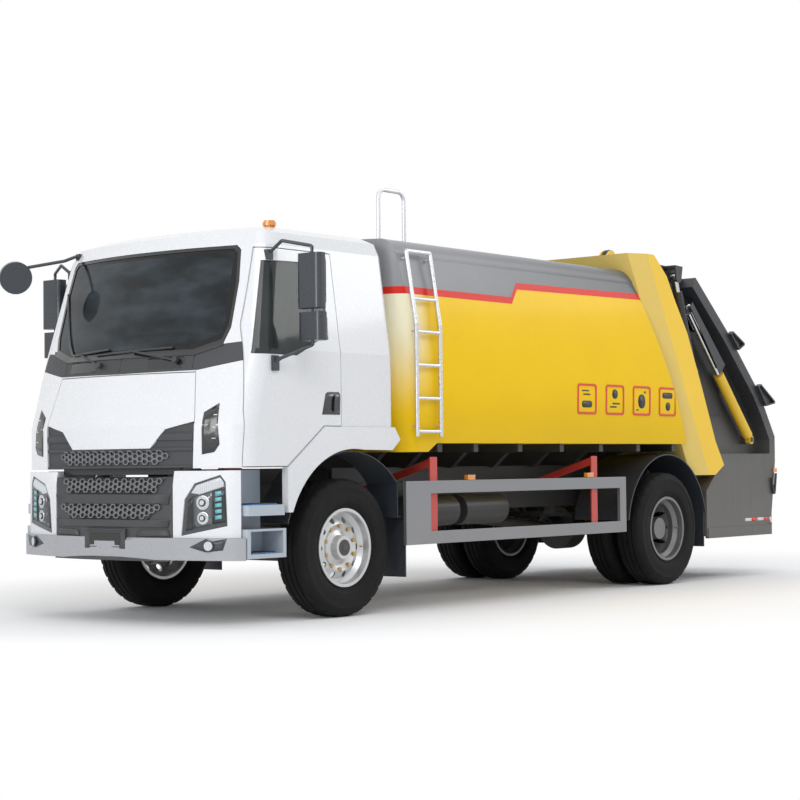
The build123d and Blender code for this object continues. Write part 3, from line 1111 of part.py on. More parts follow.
SIDE_BOX = [(703.0, HOPPER_FLOOR + 5), (1988.0, HOPPER_FLOOR + 5), (1998.0, 610.0), (2088.0, 1140.0),
            (2088.0, 1225.0),
            (950.0, 1225.0), (1024.0, 1102.0), (852.0, 1003.0), (703.0, 864.0)]
BRACKETS = [[(1168.0, 2412.0), (1215.0, 2440.0), (1440.0, 2332.0), (1440.0, 2310.0), (1330.0, 2258.0)],
            [(1700.0, 1908.0), (1765.0, 1930.0), (2050.0, 1762.0), (2050.0, 1738.0), (1868.0, 1708.0)]]
FLOOR_R = PACKER_R + 30      # hopper floor about the lowered blade hinge
LOADED = (PACKER_Y + SLIDE_TRAVEL * DOWN[0], PACKER_Z + SLIDE_TRAVEL * DOWN[1])
RAMP_TOP = (865.0, 1345.0)
MOUTH = (2075.0, HOPPER_SILL_Z)
INNER = TAIL_HALF - TAIL_PLATE
BARREL_BASE = 1724.0         # slide cylinder's lower pin, along the path from the trunnion
LIFTER_X = (690.0, 720.0)
LIFTER_CYL = 600.0
LIFTER_BASE = (2060.0, 520.0)
LIFTER_EYE = (2202.0, 976.0)

with BuildPart() as tailgate_shell:
    both_slabs(from_rear(TAIL_SIDE), INNER, TAIL_HALF)
    both_slabs(from_rear(FRONT_RIB), TAIL_HALF, TAIL_HALF + 25)
    both_slabs(from_rear(REAR_RIB), TAIL_HALF, TAIL_RIB)
    both_slabs(from_rear(SIDE_BOX), TAIL_HALF, TAIL_RIB)
    rail_y = (ra(720), ra(1985))
    for side in (1, -1):
        block(side * (TAIL_RIB - 30), side * (TAIL_RIB + 8), *rail_y, HOPPER_FLOOR - 15, HOPPER_FLOOR + 80)
    for bracket in BRACKETS:
        both_slabs(from_rear(bracket), TAIL_RIB - 10, FRAME_HALF)
        for side in (1, -1):
            with BuildSketch(Plane.YZ.offset(side * (TAIL_RIB + 8))) as window:
                outline(from_rear(bracket))
                offset(amount=-16, kind=Kind.INTERSECTION)
            extrude(window.sketch, amount=side * 60, mode=Mode.SUBTRACT)
    cover = [(-30.0, 3050.0), (450.0, 3020.0), (1150.0, 2440.0), (1144.0, 2433.0), (446.0, 3010.0),
             (-29.0, 3040.0)]
    side_slab(from_rear(cover), -TAIL_HALF, TAIL_HALF)
    head_beam = [(-30.0, 3049.0), (-11.0, 2903.0), (60.0, 2903.0), (60.0, 3035.0)]
    side_slab(from_rear(head_beam), -TAIL_HALF, TAIL_HALF)
    cover_beam = [(1060.0, 2505.0), (1145.0, 2434.0), (1107.0, 2393.0), (1022.0, 2464.0)]
    side_slab(from_rear(cover_beam), -TAIL_HALF, TAIL_HALF)
    for ear in HINGE_EARS:
        gate_ear = from_rear([(HINGE_Y - 30, HINGE_Z + 38), (HINGE_Y + 30, HINGE_Z + 38), (20, 3040),
                              (20, 2950),
                              (-18, 2950), (HINGE_Y - 30, HINGE_Z - 38)])
        side_slab(gate_ear, ear - EAR_HALF, ear + EAR_HALF)
        cross_bar(ear - EAR_HALF, ear + EAR_HALF, ra(HINGE_Y), HINGE_Z, HINGE_R + 8)
        cross_bar(ear - EAR_HALF, ear + EAR_HALF, ra(HINGE_Y), HINGE_Z, HINGE_R - 14 + FIT, Mode.SUBTRACT)
    # loading hopper: ramp, round floor and edge
    low_end = along((ra(LOADED[0]), LOADED[1]), -45, FLOOR_R)
    low_mid = along((ra(LOADED[0]), LOADED[1]), -67.5, FLOOR_R)
    low_start = along((ra(LOADED[0]), LOADED[1]), -90, FLOOR_R)
    with BuildSketch(Plane.YZ.offset(-TAIL_HALF)) as floor:
        with BuildLine() as run:
            Polyline(from_rear([RAMP_TOP])[0], low_start)
            ThreePointArc(low_start, low_mid, low_end)
            Polyline(low_end,
                     *from_rear([MOUTH, (2068.0, HOPPER_SILL_Z - 22), (2010.0, 1040.0), (1900.0, 930.0)]))
            Polyline((ra(1900), 930), (ra(1700), 820), (ra(1393), 801), (ra(1385), 801),
                     (ra(RAMP_TOP[0] - 16), RAMP_TOP[1] - 10), (ra(RAMP_TOP[0]), RAMP_TOP[1]))
        make_face(run.edges())
    extrude(floor.sketch, amount=2 * TAIL_HALF)
    apron = [(2071.0, 1094.0), (2058.0, 1086.0), (1968.0, 450.0), (1981.0, 450.0), (2071.5, 1070.0)]
    side_slab(from_rear(apron), -TAIL_HALF, TAIL_HALF)
    for foot in ((710.0, 820.0), (1880.0, 1985.0)):
        block(-TAIL_HALF, TAIL_HALF, ra(foot[0]), ra(foot[1]), HOPPER_FLOOR, HOPPER_FLOOR + 90)
    # path of the carriage's side pins
    ends = [slide_point(TRUNNION, -2), slide_point(TRUNNION, SLIDE_TRAVEL + 2)]
    slot = [slide_point(TRUNNION, -2, 50), slide_point(TRUNNION, SLIDE_TRAVEL + 2, 50),
            slide_point(TRUNNION, SLIDE_TRAVEL + 2, -50), slide_point(TRUNNION, -2, -50)]
    both_slabs(slot, INNER - 20, TAIL_HALF + 40, Mode.SUBTRACT)
    for side in (1, -1):
        for end_y, end_z in ends:
            cross_bar(side * (INNER - 20), side * (TAIL_HALF + 40), end_y, end_z, 50, Mode.SUBTRACT)
        # lower pin of the side cylinder
        pin_y, pin_z = slide_point(TRUNNION, BARREL_BASE)
        cross_bar(side * TAIL_HALF, side * (CYLINDER_X - 28), pin_y, pin_z, EYE_R)
        cross_bar(side * TAIL_HALF, side * (CYLINDER_X + 35), pin_y, pin_z, PIN_R)
        # lugs round the lift cylinder's eye
        eye_y, eye_z = LIFT_EYE
        lug = from_rear([(eye_y - 60, eye_z + 86), (eye_y - 45, eye_z - 30), (eye_y - 20, eye_z - 50),
                         (eye_y + 20, eye_z - 50), (eye_y + 45, eye_z - 30), (eye_y + 70, eye_z + 86)])
        for edge in (LUG_GAP, -LUG_GAP - LUG_PLATE):
            side_slab(lug, *sorted((side * (CYLINDER_X + edge), side * (CYLINDER_X + edge + LUG_PLATE))))
        bridge = from_rear([(eye_y - 60, eye_z + 84), (eye_y + 70, eye_z + 84), (eye_y + 70, eye_z + 104),
                            (eye_y - 60, eye_z + 110)])
        side_slab(bridge, *sorted((side * TAIL_HALF, side * (CYLINDER_X + LUG_GAP + LUG_PLATE))))
        # bin lifter's ears and lower brackets
        lifter_ear = from_rear([(2050.0, 1085.0), (2072.0, 1150.0), (LIFTER_Y, LIFTER_Z + 35),
                                (LIFTER_Y + 35, LIFTER_Z),
                                (LIFTER_Y, LIFTER_Z - 35), (2060.0, 1000.0)])
        side_slab(lifter_ear, *sorted((side * (LIFTER_X[1] + 8), side * (LIFTER_X[1] + 28))))
        cross_bar(side * (LIFTER_X[0] - 20), side * (LIFTER_X[1] + 40), ra(LIFTER_Y), LIFTER_Z, 18)
        foot = from_rear([(1975.0, 470.0), (LIFTER_BASE[0] + 20, LIFTER_BASE[1] - 28),
                          (LIFTER_BASE[0] + 30, LIFTER_BASE[1]),
                          (LIFTER_BASE[0] + 15, LIFTER_BASE[1] + 28), (1998.0, 600.0)])
        for edge in (28, -40):
            side_slab(foot, *sorted((side * (LIFTER_CYL + edge), side * (LIFTER_CYL + edge + 12))))
        cross_bar(side * (LIFTER_CYL - 38), side * (LIFTER_CYL + 38), ra(LIFTER_BASE[0]), LIFTER_BASE[1],
                  15)
keep(tailgate_shell, "tailgate_shell")

PACKER_PIVOT = (PACKER_Y, PACKER_Z)
EAR_X = [(300.0, 340.0), (945.0, 985.0)]
PACKER_CYL = 550.0
PACKER_BASE = (334.0, 2894.0)
PACKER_LUG = (PACKER_Y + 200 * cos(radians(20)), PACKER_Z - 200 * sin(radians(20)))
with BuildPart() as slide_carriage:
    plate = [slide_point(PACKER_PIVOT, *at) for at in ((-80, -110), (-80, -10), (-950, -10), (-950, -110))]
    side_slab(plate, -1035, 1035)
    hollow = [slide_point(PACKER_PIVOT, *at) for at in ((-170, -98), (-170, -9), (-870, -9), (-870, -98))]
    for low, high in ((-925.0, -660.0), (-440.0, -20.0), (20.0, 440.0), (660.0, 925.0)):
        side_slab(hollow, low, high, Mode.SUBTRACT)
    ear = [slide_point(PACKER_PIVOT, *at) for at in ((-85, -105), (10, -50), (30, 40), (-20, 50),
                                                     (-85, -11))]
    for low, high in EAR_X:
        both_slabs(ear, low, high)
        for side in (1, -1):
            cross_bar(side * low, side * high, ra(PACKER_Y), PACKER_Z, 50)
    cross_bar(-1000, 1000, ra(PACKER_Y), PACKER_Z, PIN_R)
    for side in (1, -1):
        cross_bar(side * 1000, side * (CYLINDER_X + 35), ra(TRUNNION[0]), TRUNNION[1], 35)
        boss = [slide_point(TRUNNION, *at) for at in ((-60, -60), (60, -60), (60, 50), (-60, 50))]
        side_slab(boss, *sorted((side * 985, side * 1035)))
        base_lug = [slide_point(PACKER_BASE, *at) for at in ((-40, -40), (-40, 25), (0, 45), (40, 25),
                                                             (60, -110), (-60, -110))]
        for edge in (30, -45):
            side_slab(base_lug, *sorted((side * (PACKER_CYL + edge), side * (PACKER_CYL + edge + 15))))
        cross_bar(side * (PACKER_CYL - 45), side * (PACKER_CYL + 45), ra(PACKER_BASE[0]), PACKER_BASE[1],
                  PIN_R)
keep(slide_carriage, "slide_carriage")

GUARD_X = (1205.0, 1213.0)
with BuildPart() as slide_guards:
    guard = [slide_point(TRUNNION, *at) for at in ((-60, -30), (-60, 30), (780, 70), (780, -70))]
    both_slabs(guard, *GUARD_X)
    for side in (1, -1):
        cross_bar(side * (CYLINDER_X + 35 + SEAT), side * (GUARD_X[0] + 1), ra(TRUNNION[0]), TRUNNION[1], 22)
keep(slide_guards, "slide_guards")

BLADE = [(840.0, 2240.0), (800.0, 1900.0), (820.0, 1600.0), (880.0, 1390.0), (930.0, 1420.0),
         (960.0, 1700.0), (950.0, 2000.0),
         (930.0, 2240.0)]
BLADE_HALF = 1000.0
with BuildPart() as packer_blade:
    side_slab(from_rear(BLADE), -BLADE_HALF, BLADE_HALF)
    cross_bar(-BLADE_HALF, BLADE_HALF, ra(PACKER_Y), PACKER_Z, 50)
    for low, high in EAR_X:
        for side in (1, -1):
            cross_bar(side * (low - 8), side * (high + 8), ra(PACKER_Y), PACKER_Z, 66, Mode.SUBTRACT)
            cross_bar(side * (low - 8), side * (high + 8), ra(PACKER_Y), PACKER_Z + 30, 66, Mode.SUBTRACT)
    lug = from_rear([(PACKER_Y + 20, PACKER_Z + 10), (PACKER_LUG[0] - 10, PACKER_LUG[1] + 38),
                     (PACKER_LUG[0] + 30, PACKER_LUG[1] + 20),
                     (PACKER_LUG[0] + 25, PACKER_LUG[1] - 25), (945.0, 1980.0), (925.0, 1980.0)])
    for edge in (30, -45):
        both_slabs(lug, PACKER_CYL + edge, PACKER_CYL + edge + 15)
    for x in (-900, -600, -300, 0, 300, 600, 900):
        rib = from_rear([(925.0, 2150.0), (1010.0, 2120.0), (1015.0, 1650.0), (940.0, 1440.0),
                         (900.0, 1440.0)])
        if abs(x) != 600:
            side_slab(rib, x - 8, x + 8)
    cross_bar(-BLADE_HALF, BLADE_HALF, ra(PACKER_Y), PACKER_Z, PIN_R + FIT, Mode.SUBTRACT)
keep(packer_blade, "packer_blade")


def cylinder_body(base, direction, x, base_width, radius, bore, begin, end, pin, base_eye=EYE_R):
    """Barrel of a cylinder: an eye round its pin and a bored tube towards its head."""
    y, z = from_rear([base])[0]
    start = (x, y + begin * direction[0], z + begin * direction[1])
    head = (x, y + end * direction[0], z + end * direction[1])
    bottom = (x, y + (begin + 25) * direction[0], z + (begin + 25) * direction[1])
    over = (x, y + (end + 5) * direction[0], z + (end + 5) * direction[1])
    bar(start, head, radius)
    bar(bottom, over, bore, Mode.SUBTRACT)
    bar((x, y, z), (x, y + (begin + 5) * direction[0], z + (begin + 5) * direction[1]), base_width / 2 - 3)
    cross_bar(x - base_width / 2, x + base_width / 2, y, z, base_eye)
    cross_bar(x - base_width, x + base_width, y, z, pin + FIT, Mode.SUBTRACT)


def cylinder_rod(eye, direction, x, width, radius, length, hole, eye_radius=EYE_R):
    """Rod of a cylinder with its eye; direction points from the eye into the barrel."""
    y, z = from_rear([eye])[0]
    bar((x, y, z), (x, y + length * direction[0], z + length * direction[1]), radius)
    cross_bar(x - width / 2, x + width / 2, y, z, eye_radius)
    cross_bar(x - width / 2 - 20, x + width / 2 + 20, y, z, hole, Mode.SUBTRACT)


def unit(start, end):
    run = (end[0] - start[0], end[1] - start[1])
    size = hypot(*run)
    return (run[0] / size, run[1] / size)


up_slide = (-DOWN[0], -DOWN[1])
slide_base = (TRUNNION[0] + BARREL_BASE * DOWN[0], TRUNNION[1] + BARREL_BASE * DOWN[1])
with BuildPart() as slide_barrels:
    for x in (CYLINDER_X, -CYLINDER_X):
        cylinder_body(slide_base, up_slide, x, 50, 52, 31, 60, BARREL_BASE - 840, PIN_R)
keep(slide_barrels, "slide_barrels")

with BuildPart() as slide_rods:
    for x in (CYLINDER_X, -CYLINDER_X):
        cylinder_rod(TRUNNION, DOWN, x, 50, 30, 880, 35 + FIT, 50)
keep(slide_rods, "slide_rods")

lift_way = unit(LIFT_BASE, LIFT_EYE)
with BuildPart() as lift_barrels:
    for x in (CYLINDER_X, -CYLINDER_X):
        cylinder_body(LIFT_BASE, lift_way, x, 50, 45, 26, 90, 800, 20, 40)
keep(lift_barrels, "lift_barrels")

with BuildPart() as lift_rods:
    for x in (CYLINDER_X, -CYLINDER_X):
        cylinder_rod(LIFT_EYE, (-lift_way[0], -lift_way[1]), x, 50, 25, 820, 20)
keep(lift_rods, "lift_rods")

packer_way = unit(PACKER_BASE, PACKER_LUG)
with BuildPart() as packer_barrels:
    for x in (PACKER_CYL, -PACKER_CYL):
        cylinder_body(PACKER_BASE, packer_way, x, 50, 45, 26, 70, 640, PIN_R, 40)
keep(packer_barrels, "packer_barrels")

with BuildPart() as packer_rods:
    for x in (PACKER_CYL, -PACKER_CYL):
        cylinder_rod(PACKER_LUG, (-packer_way[0], -packer_way[1]), x, 50, 25, 600, 20, 38)
keep(packer_rods, "packer_rods")

lifter_way = unit(LIFTER_BASE, LIFTER_EYE)
with BuildPart() as lifter_barrels:
    for x in (LIFTER_CYL, -LIFTER_CYL):
        cylinder_body(LIFTER_BASE, lifter_way, x, 44, 34, 19, 45, 390, 15, 26)
keep(lifter_barrels, "lifter_barrels")

with BuildPart() as lifter_rods:
    for x in (LIFTER_CYL, -LIFTER_CYL):
        cylinder_rod(LIFTER_EYE, (-lifter_way[0], -lifter_way[1]), x, 44, 18, 405, 14, 28)
keep(lifter_rods, "lifter_rods")

LIFTER_ARM = [(2100.0, 1150.0), (2165.0, 1148.0), (2280.0, 950.0), (REAR_OVERHANG, 772.0), (2330.0, 660.0),
              (2222.0, 592.0),
              (2195.0, 620.0), (2222.0, 750.0), (2145.0, 1020.0), (2100.0, 1080.0)]
COMB_TEETH = 15
with BuildPart() as bin_lifter:
    for side in (1, -1):
        side_slab(from_rear(LIFTER_ARM), *sorted((side * LIFTER_X[0], side * LIFTER_X[1])))
    comb = [(2150.0, 1140.0), (2165.0, 1148.0), (2280.0, 950.0), (2385.0, 809.0), (2372.0, 800.0),
            (2268.0, 942.0)]
    side_slab(from_rear(comb), -LIFTER_X[0] - 1, LIFTER_X[0] + 1)
    beam = [(2225.0, 745.0), (2290.0, 760.0), (2310.0, 690.0), (2240.0, 665.0)]
    side_slab(from_rear(beam), -LIFTER_X[0] - 1, LIFTER_X[0] + 1)
    lower = [(2300.0, 720.0), (2330.0, 662.0), (2316.0, 655.0), (2285.0, 712.0)]
    side_slab(from_rear(lower), -LIFTER_X[0] - 1, LIFTER_X[0] + 1)
    for tooth in range(COMB_TEETH):
        x = (tooth - (COMB_TEETH - 1) / 2) * 92
        tip = from_rear([(2268.0, 942.0), (2285.0, 945.0), (REAR_OVERHANG, 772.0), (2380.0, 730.0),
                         (2350.0, 770.0)])
        side_slab(tip, x - 8, x + 8)
    for side in (1, -1):
        lug = from_rear([(LIFTER_EYE[0] - 26, LIFTER_EYE[1] - 14),
                         (LIFTER_EYE[0] - 20, LIFTER_EYE[1] + 24), (2190.0, 1090.0),
                         (2215.0, 1050.0), (2275.0, 940.0), (2255.0, 935.0)])
        for edge in (28, -40):
            side_slab(lug, *sorted((side * (LIFTER_CYL + edge), side * (LIFTER_CYL + edge + 12))))
        cross_bar(side * (LIFTER_X[0] - 1), side * (LIFTER_X[1] + 1), ra(LIFTER_Y), LIFTER_Z, 18 + FIT,
                  Mode.SUBTRACT)
keep(bin_lifter, "bin_lifter")
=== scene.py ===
"""Looks of a rear-loading refuse truck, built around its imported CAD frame.

Lengths are metres in the frame: +X is the truck's left, -Y its front and +Z up. fa() and ra() turn
lengths measured from the front and the rear axle into places in the frame. Outlines are (across, up)
pairs, seen from the front as (x, z) and from a side as (y, z).
"""
import json
import math

import bmesh
import bpy
from mathutils import Matrix, Vector
from mathutils.bvhtree import BVHTree

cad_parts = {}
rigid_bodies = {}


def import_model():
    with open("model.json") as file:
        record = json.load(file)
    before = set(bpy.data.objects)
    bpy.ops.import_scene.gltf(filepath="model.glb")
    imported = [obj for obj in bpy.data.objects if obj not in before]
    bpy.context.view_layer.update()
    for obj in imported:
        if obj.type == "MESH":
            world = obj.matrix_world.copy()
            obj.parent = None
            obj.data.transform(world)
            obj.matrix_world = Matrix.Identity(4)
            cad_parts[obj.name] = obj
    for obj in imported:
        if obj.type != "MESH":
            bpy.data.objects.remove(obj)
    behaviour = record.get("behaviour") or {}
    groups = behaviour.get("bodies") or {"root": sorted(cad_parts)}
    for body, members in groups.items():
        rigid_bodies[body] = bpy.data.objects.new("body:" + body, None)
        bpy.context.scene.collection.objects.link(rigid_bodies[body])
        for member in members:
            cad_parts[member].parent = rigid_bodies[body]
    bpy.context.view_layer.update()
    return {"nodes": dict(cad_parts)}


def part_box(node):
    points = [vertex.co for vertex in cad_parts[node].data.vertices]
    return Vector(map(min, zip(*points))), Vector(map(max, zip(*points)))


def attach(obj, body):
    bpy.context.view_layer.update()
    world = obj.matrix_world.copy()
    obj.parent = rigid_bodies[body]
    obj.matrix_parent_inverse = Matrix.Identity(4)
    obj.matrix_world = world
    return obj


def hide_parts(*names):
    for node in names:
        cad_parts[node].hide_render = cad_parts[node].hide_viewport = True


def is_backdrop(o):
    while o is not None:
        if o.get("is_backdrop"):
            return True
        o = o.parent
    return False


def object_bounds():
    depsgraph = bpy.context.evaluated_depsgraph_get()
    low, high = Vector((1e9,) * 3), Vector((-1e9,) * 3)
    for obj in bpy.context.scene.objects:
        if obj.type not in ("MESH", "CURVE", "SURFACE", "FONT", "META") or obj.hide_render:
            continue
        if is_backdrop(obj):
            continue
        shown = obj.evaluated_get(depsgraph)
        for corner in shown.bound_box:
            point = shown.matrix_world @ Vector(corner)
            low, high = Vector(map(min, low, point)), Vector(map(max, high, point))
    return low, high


for leftover in list(bpy.data.objects):
    bpy.data.objects.remove(leftover)
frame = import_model()


def axle(node):
    """Centre of a node's box."""
    low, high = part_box(node)
    return Vector(((low[0] + high[0]) / 2, (low[1] + high[1]) / 2, (low[2] + high[2]) / 2))


FRONT = axle("tyre_fl")
REAR = axle("tyre_rl")
SIDES = ((1, "l", "left", "left_door"), (-1, "r", "right", "right_door"))


def fa(y):
    """Length from the front axle, in the frame."""
    return FRONT.y + y


def ra(y):
    """Length from the rear axle, in the frame."""
    return REAR.y + y


# ---- materials
class Graph:
    """Short way to make and join shader nodes."""

    def __init__(self, name):
        self.material = bpy.data.materials.new(name)
        self.material.use_nodes = True
        self.tree = self.material.node_tree
        self.shader = self.tree.nodes["Principled BSDF"]
        self.place = self.node("ShaderNodeTexCoord").outputs["Object"]

    def node(self, kind, inputs=(), **settings):
        made = self.tree.nodes.new(kind)
        for key, value in settings.items():
            setattr(made, key, value)
        for key, value in dict(inputs).items():
            if isinstance(value, bpy.types.NodeSocket):
                self.tree.links.new(value, made.inputs[key])
            else:
                made.inputs[key].default_value = value
        return made

    def join(self, output, socket):
        self.tree.links.new(output, self.shader.inputs[socket])

    def noise(self, scale, detail=4.0, rough=0.55, stretch=None):
        place = self.place
        if stretch:
            place = self.node("ShaderNodeMapping", {"Vector": place, "Scale": stretch}).outputs[0]
        inputs = {"Vector": place, "Scale": scale, "Detail": detail, "Roughness": rough}
        return self.node("ShaderNodeTexNoise", inputs).outputs["Fac"]

    def span(self, value, low, high, to_low=0.0, to_high=1.0, smooth=False):
        """Maps a value from one range to another, held at both ends."""
        inputs = {"Value": value, "From Min": low, "From Max": high, "To Min": to_low, "To Max": to_high}
        kind = "SMOOTHSTEP" if smooth else "LINEAR"
        return self.node("ShaderNodeMapRange", inputs, interpolation_type=kind).outputs["Result"]

    def math(self, operation, a, b=0.0, c=0.0):
        made = self.node("ShaderNodeMath", operation=operation)
        for socket, value in zip(made.inputs, (a, b, c)):
            if isinstance(value, bpy.types.NodeSocket):
                self.tree.links.new(value, socket)
            else:
                socket.default_value = value
        return made.outputs[0]

    def mix(self, factor, a, b):
        made = self.node("ShaderNodeMix", data_type="RGBA")
        for index, value in ((0, factor), (6, a), (7, b)):
            if isinstance(value, bpy.types.NodeSocket):
                self.tree.links.new(value, made.inputs[index])
            elif index:
                made.inputs[index].default_value = (*value, 1.0)
            else:
                made.inputs[index].default_value = value
        return made.outputs[2]

    def axis(self, name):
        return self.node("ShaderNodeSeparateXYZ", {"Vector": self.place}).outputs[name]

    def bump(self, strength, height, normal=None):
        inputs = {"Strength": strength, "Distance": RELIEF, "Height": height}
        if normal is not None:
            inputs["Normal"] = normal
        self.join(self.node("ShaderNodeBump", inputs).outputs[0], "Normal")


RELIEF = 0.002               # height of every bump
EDGE_ROUND = 0.004           # how far the shading rounds an edge
ROAD_DUST = (0.30, 0.27, 0.23)


def worn_edges(g, tone, rounded, edge, edge_colour):
    """Chips of another colour where the rounded normal leaves the flat one."""
    flat = g.node("ShaderNodeNewGeometry").outputs["Normal"]
    agree = g.node("ShaderNodeVectorMath", operation="DOT_PRODUCT")
    g.tree.links.new(rounded, agree.inputs[0])
    g.tree.links.new(flat, agree.inputs[1])
    worn = g.span(agree.outputs["Value"], 0.985, 0.90)
    chips = g.span(g.noise(24.0, 5.0, 0.75), 0.52, 0.62)
    return g.mix(g.math("MULTIPLY", g.math("MULTIPLY", worn, chips), edge), tone, edge_colour)


def finish_surface(g, colour, rough, spread, grain, depth, dust, edge, edge_colour, speckle):
    """Adds tone changes, road dust, worn edges and fine relief to a base colour."""
    broad = g.noise(1.7, 5.0)
    fine = g.noise(38.0, 6.0, 0.7)
    shade = g.math("MULTIPLY", g.span(broad, 0.3, 0.75), speckle)
    tone = g.mix(shade, colour, (0.02, 0.02, 0.02))
    height = g.axis("Z")
    low_down = g.span(height, 0.35, 1.35, 1.0, 0.0, True)
    patchy = g.math("MULTIPLY", low_down, g.span(fine, 0.35, 0.75, 0.25, 1.0))
    tone = g.mix(g.math("MULTIPLY", patchy, dust), tone, ROAD_DUST)
    rounded = g.node("ShaderNodeBevel", {"Radius": EDGE_ROUND}, samples=4).outputs[0]
    if edge:
        tone = worn_edges(g, tone, rounded, edge, edge_colour)
    g.join(tone, "Base Color")
    g.join(g.span(fine, 0.2, 0.8, max(0.03, rough - spread), rough + spread), "Roughness")
    g.bump(depth, g.noise(grain, 3.0), rounded)


def surface(name, colour, rough=0.35, spread=0.08, metallic=0.0, coat=0.0, grain=60.0, depth=0.12, dust=0.25,
            edge=0.0, edge_colour=(0.45, 0.45, 0.46), speckle=0.06):
    """Material of one colour: paint, plastic, rubber, cloth or metal."""
    g = Graph(name)
    g.shader.inputs["Metallic"].default_value = metallic
    g.shader.inputs["Coat Weight"].default_value = coat
    g.shader.inputs["Coat Roughness"].default_value = 0.08
    finish_surface(g, colour, rough, spread, grain, depth, dust, edge, edge_colour, speckle)
    return g.material


WHITE = (0.70, 0.712, 0.73)
YELLOW = (0.90, 0.57, 0.004)
RED = (0.70, 0.03, 0.02)
STRIPE_LOW = 2.50            # foot of the red stripe at the front
STRIPE_WIDE = 0.058
STRIPE_STEP = (2.08, 2.19)   # where the stripe climbs, from the front axle
STRIPE_RISE = 0.13
STRIPE_END = (4.1, 0.03)     # the body's end, from the front axle, and the stripe's last rise up to there
# Grey paint of the upper side, darkening towards the rear as painted shade.
BODY_GREYS_SHADED = ((1.0, (0.30, 0.305, 0.315)), (4.8, (0.135, 0.14, 0.145)))      # from the front axle, colour
# Painted highlight: the shield's upper front is painted pale near the cab, where the light falls on it.
HIGHLIGHT_ALONG = (0.66, 0.98)    # where the shield's pale front turns yellow, from the front axle
HIGHLIGHT_UP = (1.5, 2.35)


def livery(name, fade):
    """Yellow paint with a grey upper side above a stepped red stripe."""
    g = Graph(name)
    g.shader.inputs["Coat Weight"].default_value = 0.05
    g.shader.inputs["Specular IOR Level"].default_value = 0.12
    along, height = g.axis("Y"), g.axis("Z")
    climb = g.span(along, fa(STRIPE_STEP[0]), fa(STRIPE_STEP[1]), STRIPE_LOW, STRIPE_LOW + STRIPE_RISE)
    line = g.math("ADD", climb, g.span(along, fa(STRIPE_STEP[1]), fa(STRIPE_END[0]), 0.0, STRIPE_END[1]))
    above = g.math("SUBTRACT", height, line)
    yellow = g.mix(g.span(height, 1.3, 1.9, 0.35, 0.0, True), YELLOW, (0.55, 0.36, 0.01))
    # painted highlight: the shield's upper front turns pale
    if fade:
        forward = g.span(along, fa(HIGHLIGHT_ALONG[0]), fa(HIGHLIGHT_ALONG[1]), 1.0, 0.0, True)
        painted_highlight = g.math("MULTIPLY", forward, g.span(height, *HIGHLIGHT_UP, 0.0, 1.0, True))
        yellow = g.mix(painted_highlight, yellow, (0.90, 0.85, 0.62))
    (start, front_grey), (end, rear_grey) = BODY_GREYS_SHADED
    # painted shade: the grey darkens from the front to the rear
    grey = g.mix(g.span(along, fa(start), fa(end)), front_grey, rear_grey)
    tone = g.mix(g.math("GREATER_THAN", above, 0.0), yellow, RED)
    tone = g.mix(g.math("GREATER_THAN", above, STRIPE_WIDE), tone, grey)
    finish_surface(g, tone, 0.30, 0.07, 30.0, 0.08, 0.2, 0.0, YELLOW, 0.05)
    return g.material


def frame_paint():
    """Rear frame's yellow: bright edge, paler sloping flank as painted light on faces turned to the front,
    soft dirt.
    """
    g = Graph("paint_frame")
    g.shader.inputs["Coat Weight"].default_value = 0.2
    normal = g.node("ShaderNodeNewGeometry").outputs["Normal"]
    forward = g.node("ShaderNodeSeparateXYZ", {"Vector": normal}).outputs["Y"]
    # painted light: faces turned to the front are paler
    tone = g.mix(g.span(forward, -0.05, -0.5, 0.0, 0.55), YELLOW, (0.72, 0.62, 0.30))
    finish_surface(g, tone, 0.32, 0.08, 30.0, 0.08, 0.25, 0.25, (0.5, 0.35, 0.05), 0.05)
    return g.material


def tail_paint():
    """Tailgate's black: greyer at the foot, and deep blue-black in the upper recess as painted shade."""
    g = Graph("paint_tail")
    height = g.span(g.axis("Z"), 1.05, 1.75, 0.0, 1.0, True)
    # painted shade: darker and bluer towards the top, in the upper recess
    tone = g.mix(height, (0.100, 0.098, 0.092), (0.026, 0.028, 0.034))
    streaks = g.noise(7.0, 6.0, 0.7, (1.0, 1.0, 0.25))
    tone = g.mix(g.span(streaks, 0.52, 0.80, 0.0, 0.45), tone, (0.022, 0.024, 0.028))
    finish_surface(g, tone, 0.40, 0.14, 26.0, 0.22, 0.18, 0.8, (0.24, 0.23, 0.22), 0.16)
    return g.material


def windscreen_glass():
    """Dark tinted screen with a printed black border and faint streaks."""
    g = Graph("glass_screen")
    across = g.math("ABSOLUTE", g.axis("X"))
    height = g.axis("Z")
    side_line = g.math("SUBTRACT", 0.925, g.math("MULTIPLY", g.math("SUBTRACT", height, 2.2), 0.07))
    border = g.math("GREATER_THAN", across, g.math("SUBTRACT", side_line, 0.03))
    border = g.math("MAXIMUM", border, g.math("GREATER_THAN", height, 2.725))
    beyond = g.math("MAXIMUM", g.math("SUBTRACT", across, 0.6), 0.0)
    low_line = g.math("ADD", 2.03, g.math("MULTIPLY", beyond, 0.32))
    border = g.math("MAXIMUM", border, g.math("LESS_THAN", height, low_line))
    haze = g.noise(2.2, 6.0, 0.6, (1.0, 1.0, 2.6))
    glow = g.mix(g.span(haze, 0.40, 0.75), (0.008, 0.011, 0.013), (0.040, 0.055, 0.066))
    g.join(g.mix(border, glow, (0.008, 0.008, 0.009)), "Base Color")
    g.join(g.span(g.noise(9.0, 5.0), 0.3, 0.8, 0.02, 0.09), "Roughness")
    g.join(g.math("MAXIMUM", border, g.span(haze, 0.3, 0.8, 0.80, 0.92)), "Alpha")
    g.shader.inputs["Specular IOR Level"].default_value = 0.35
    return g.material


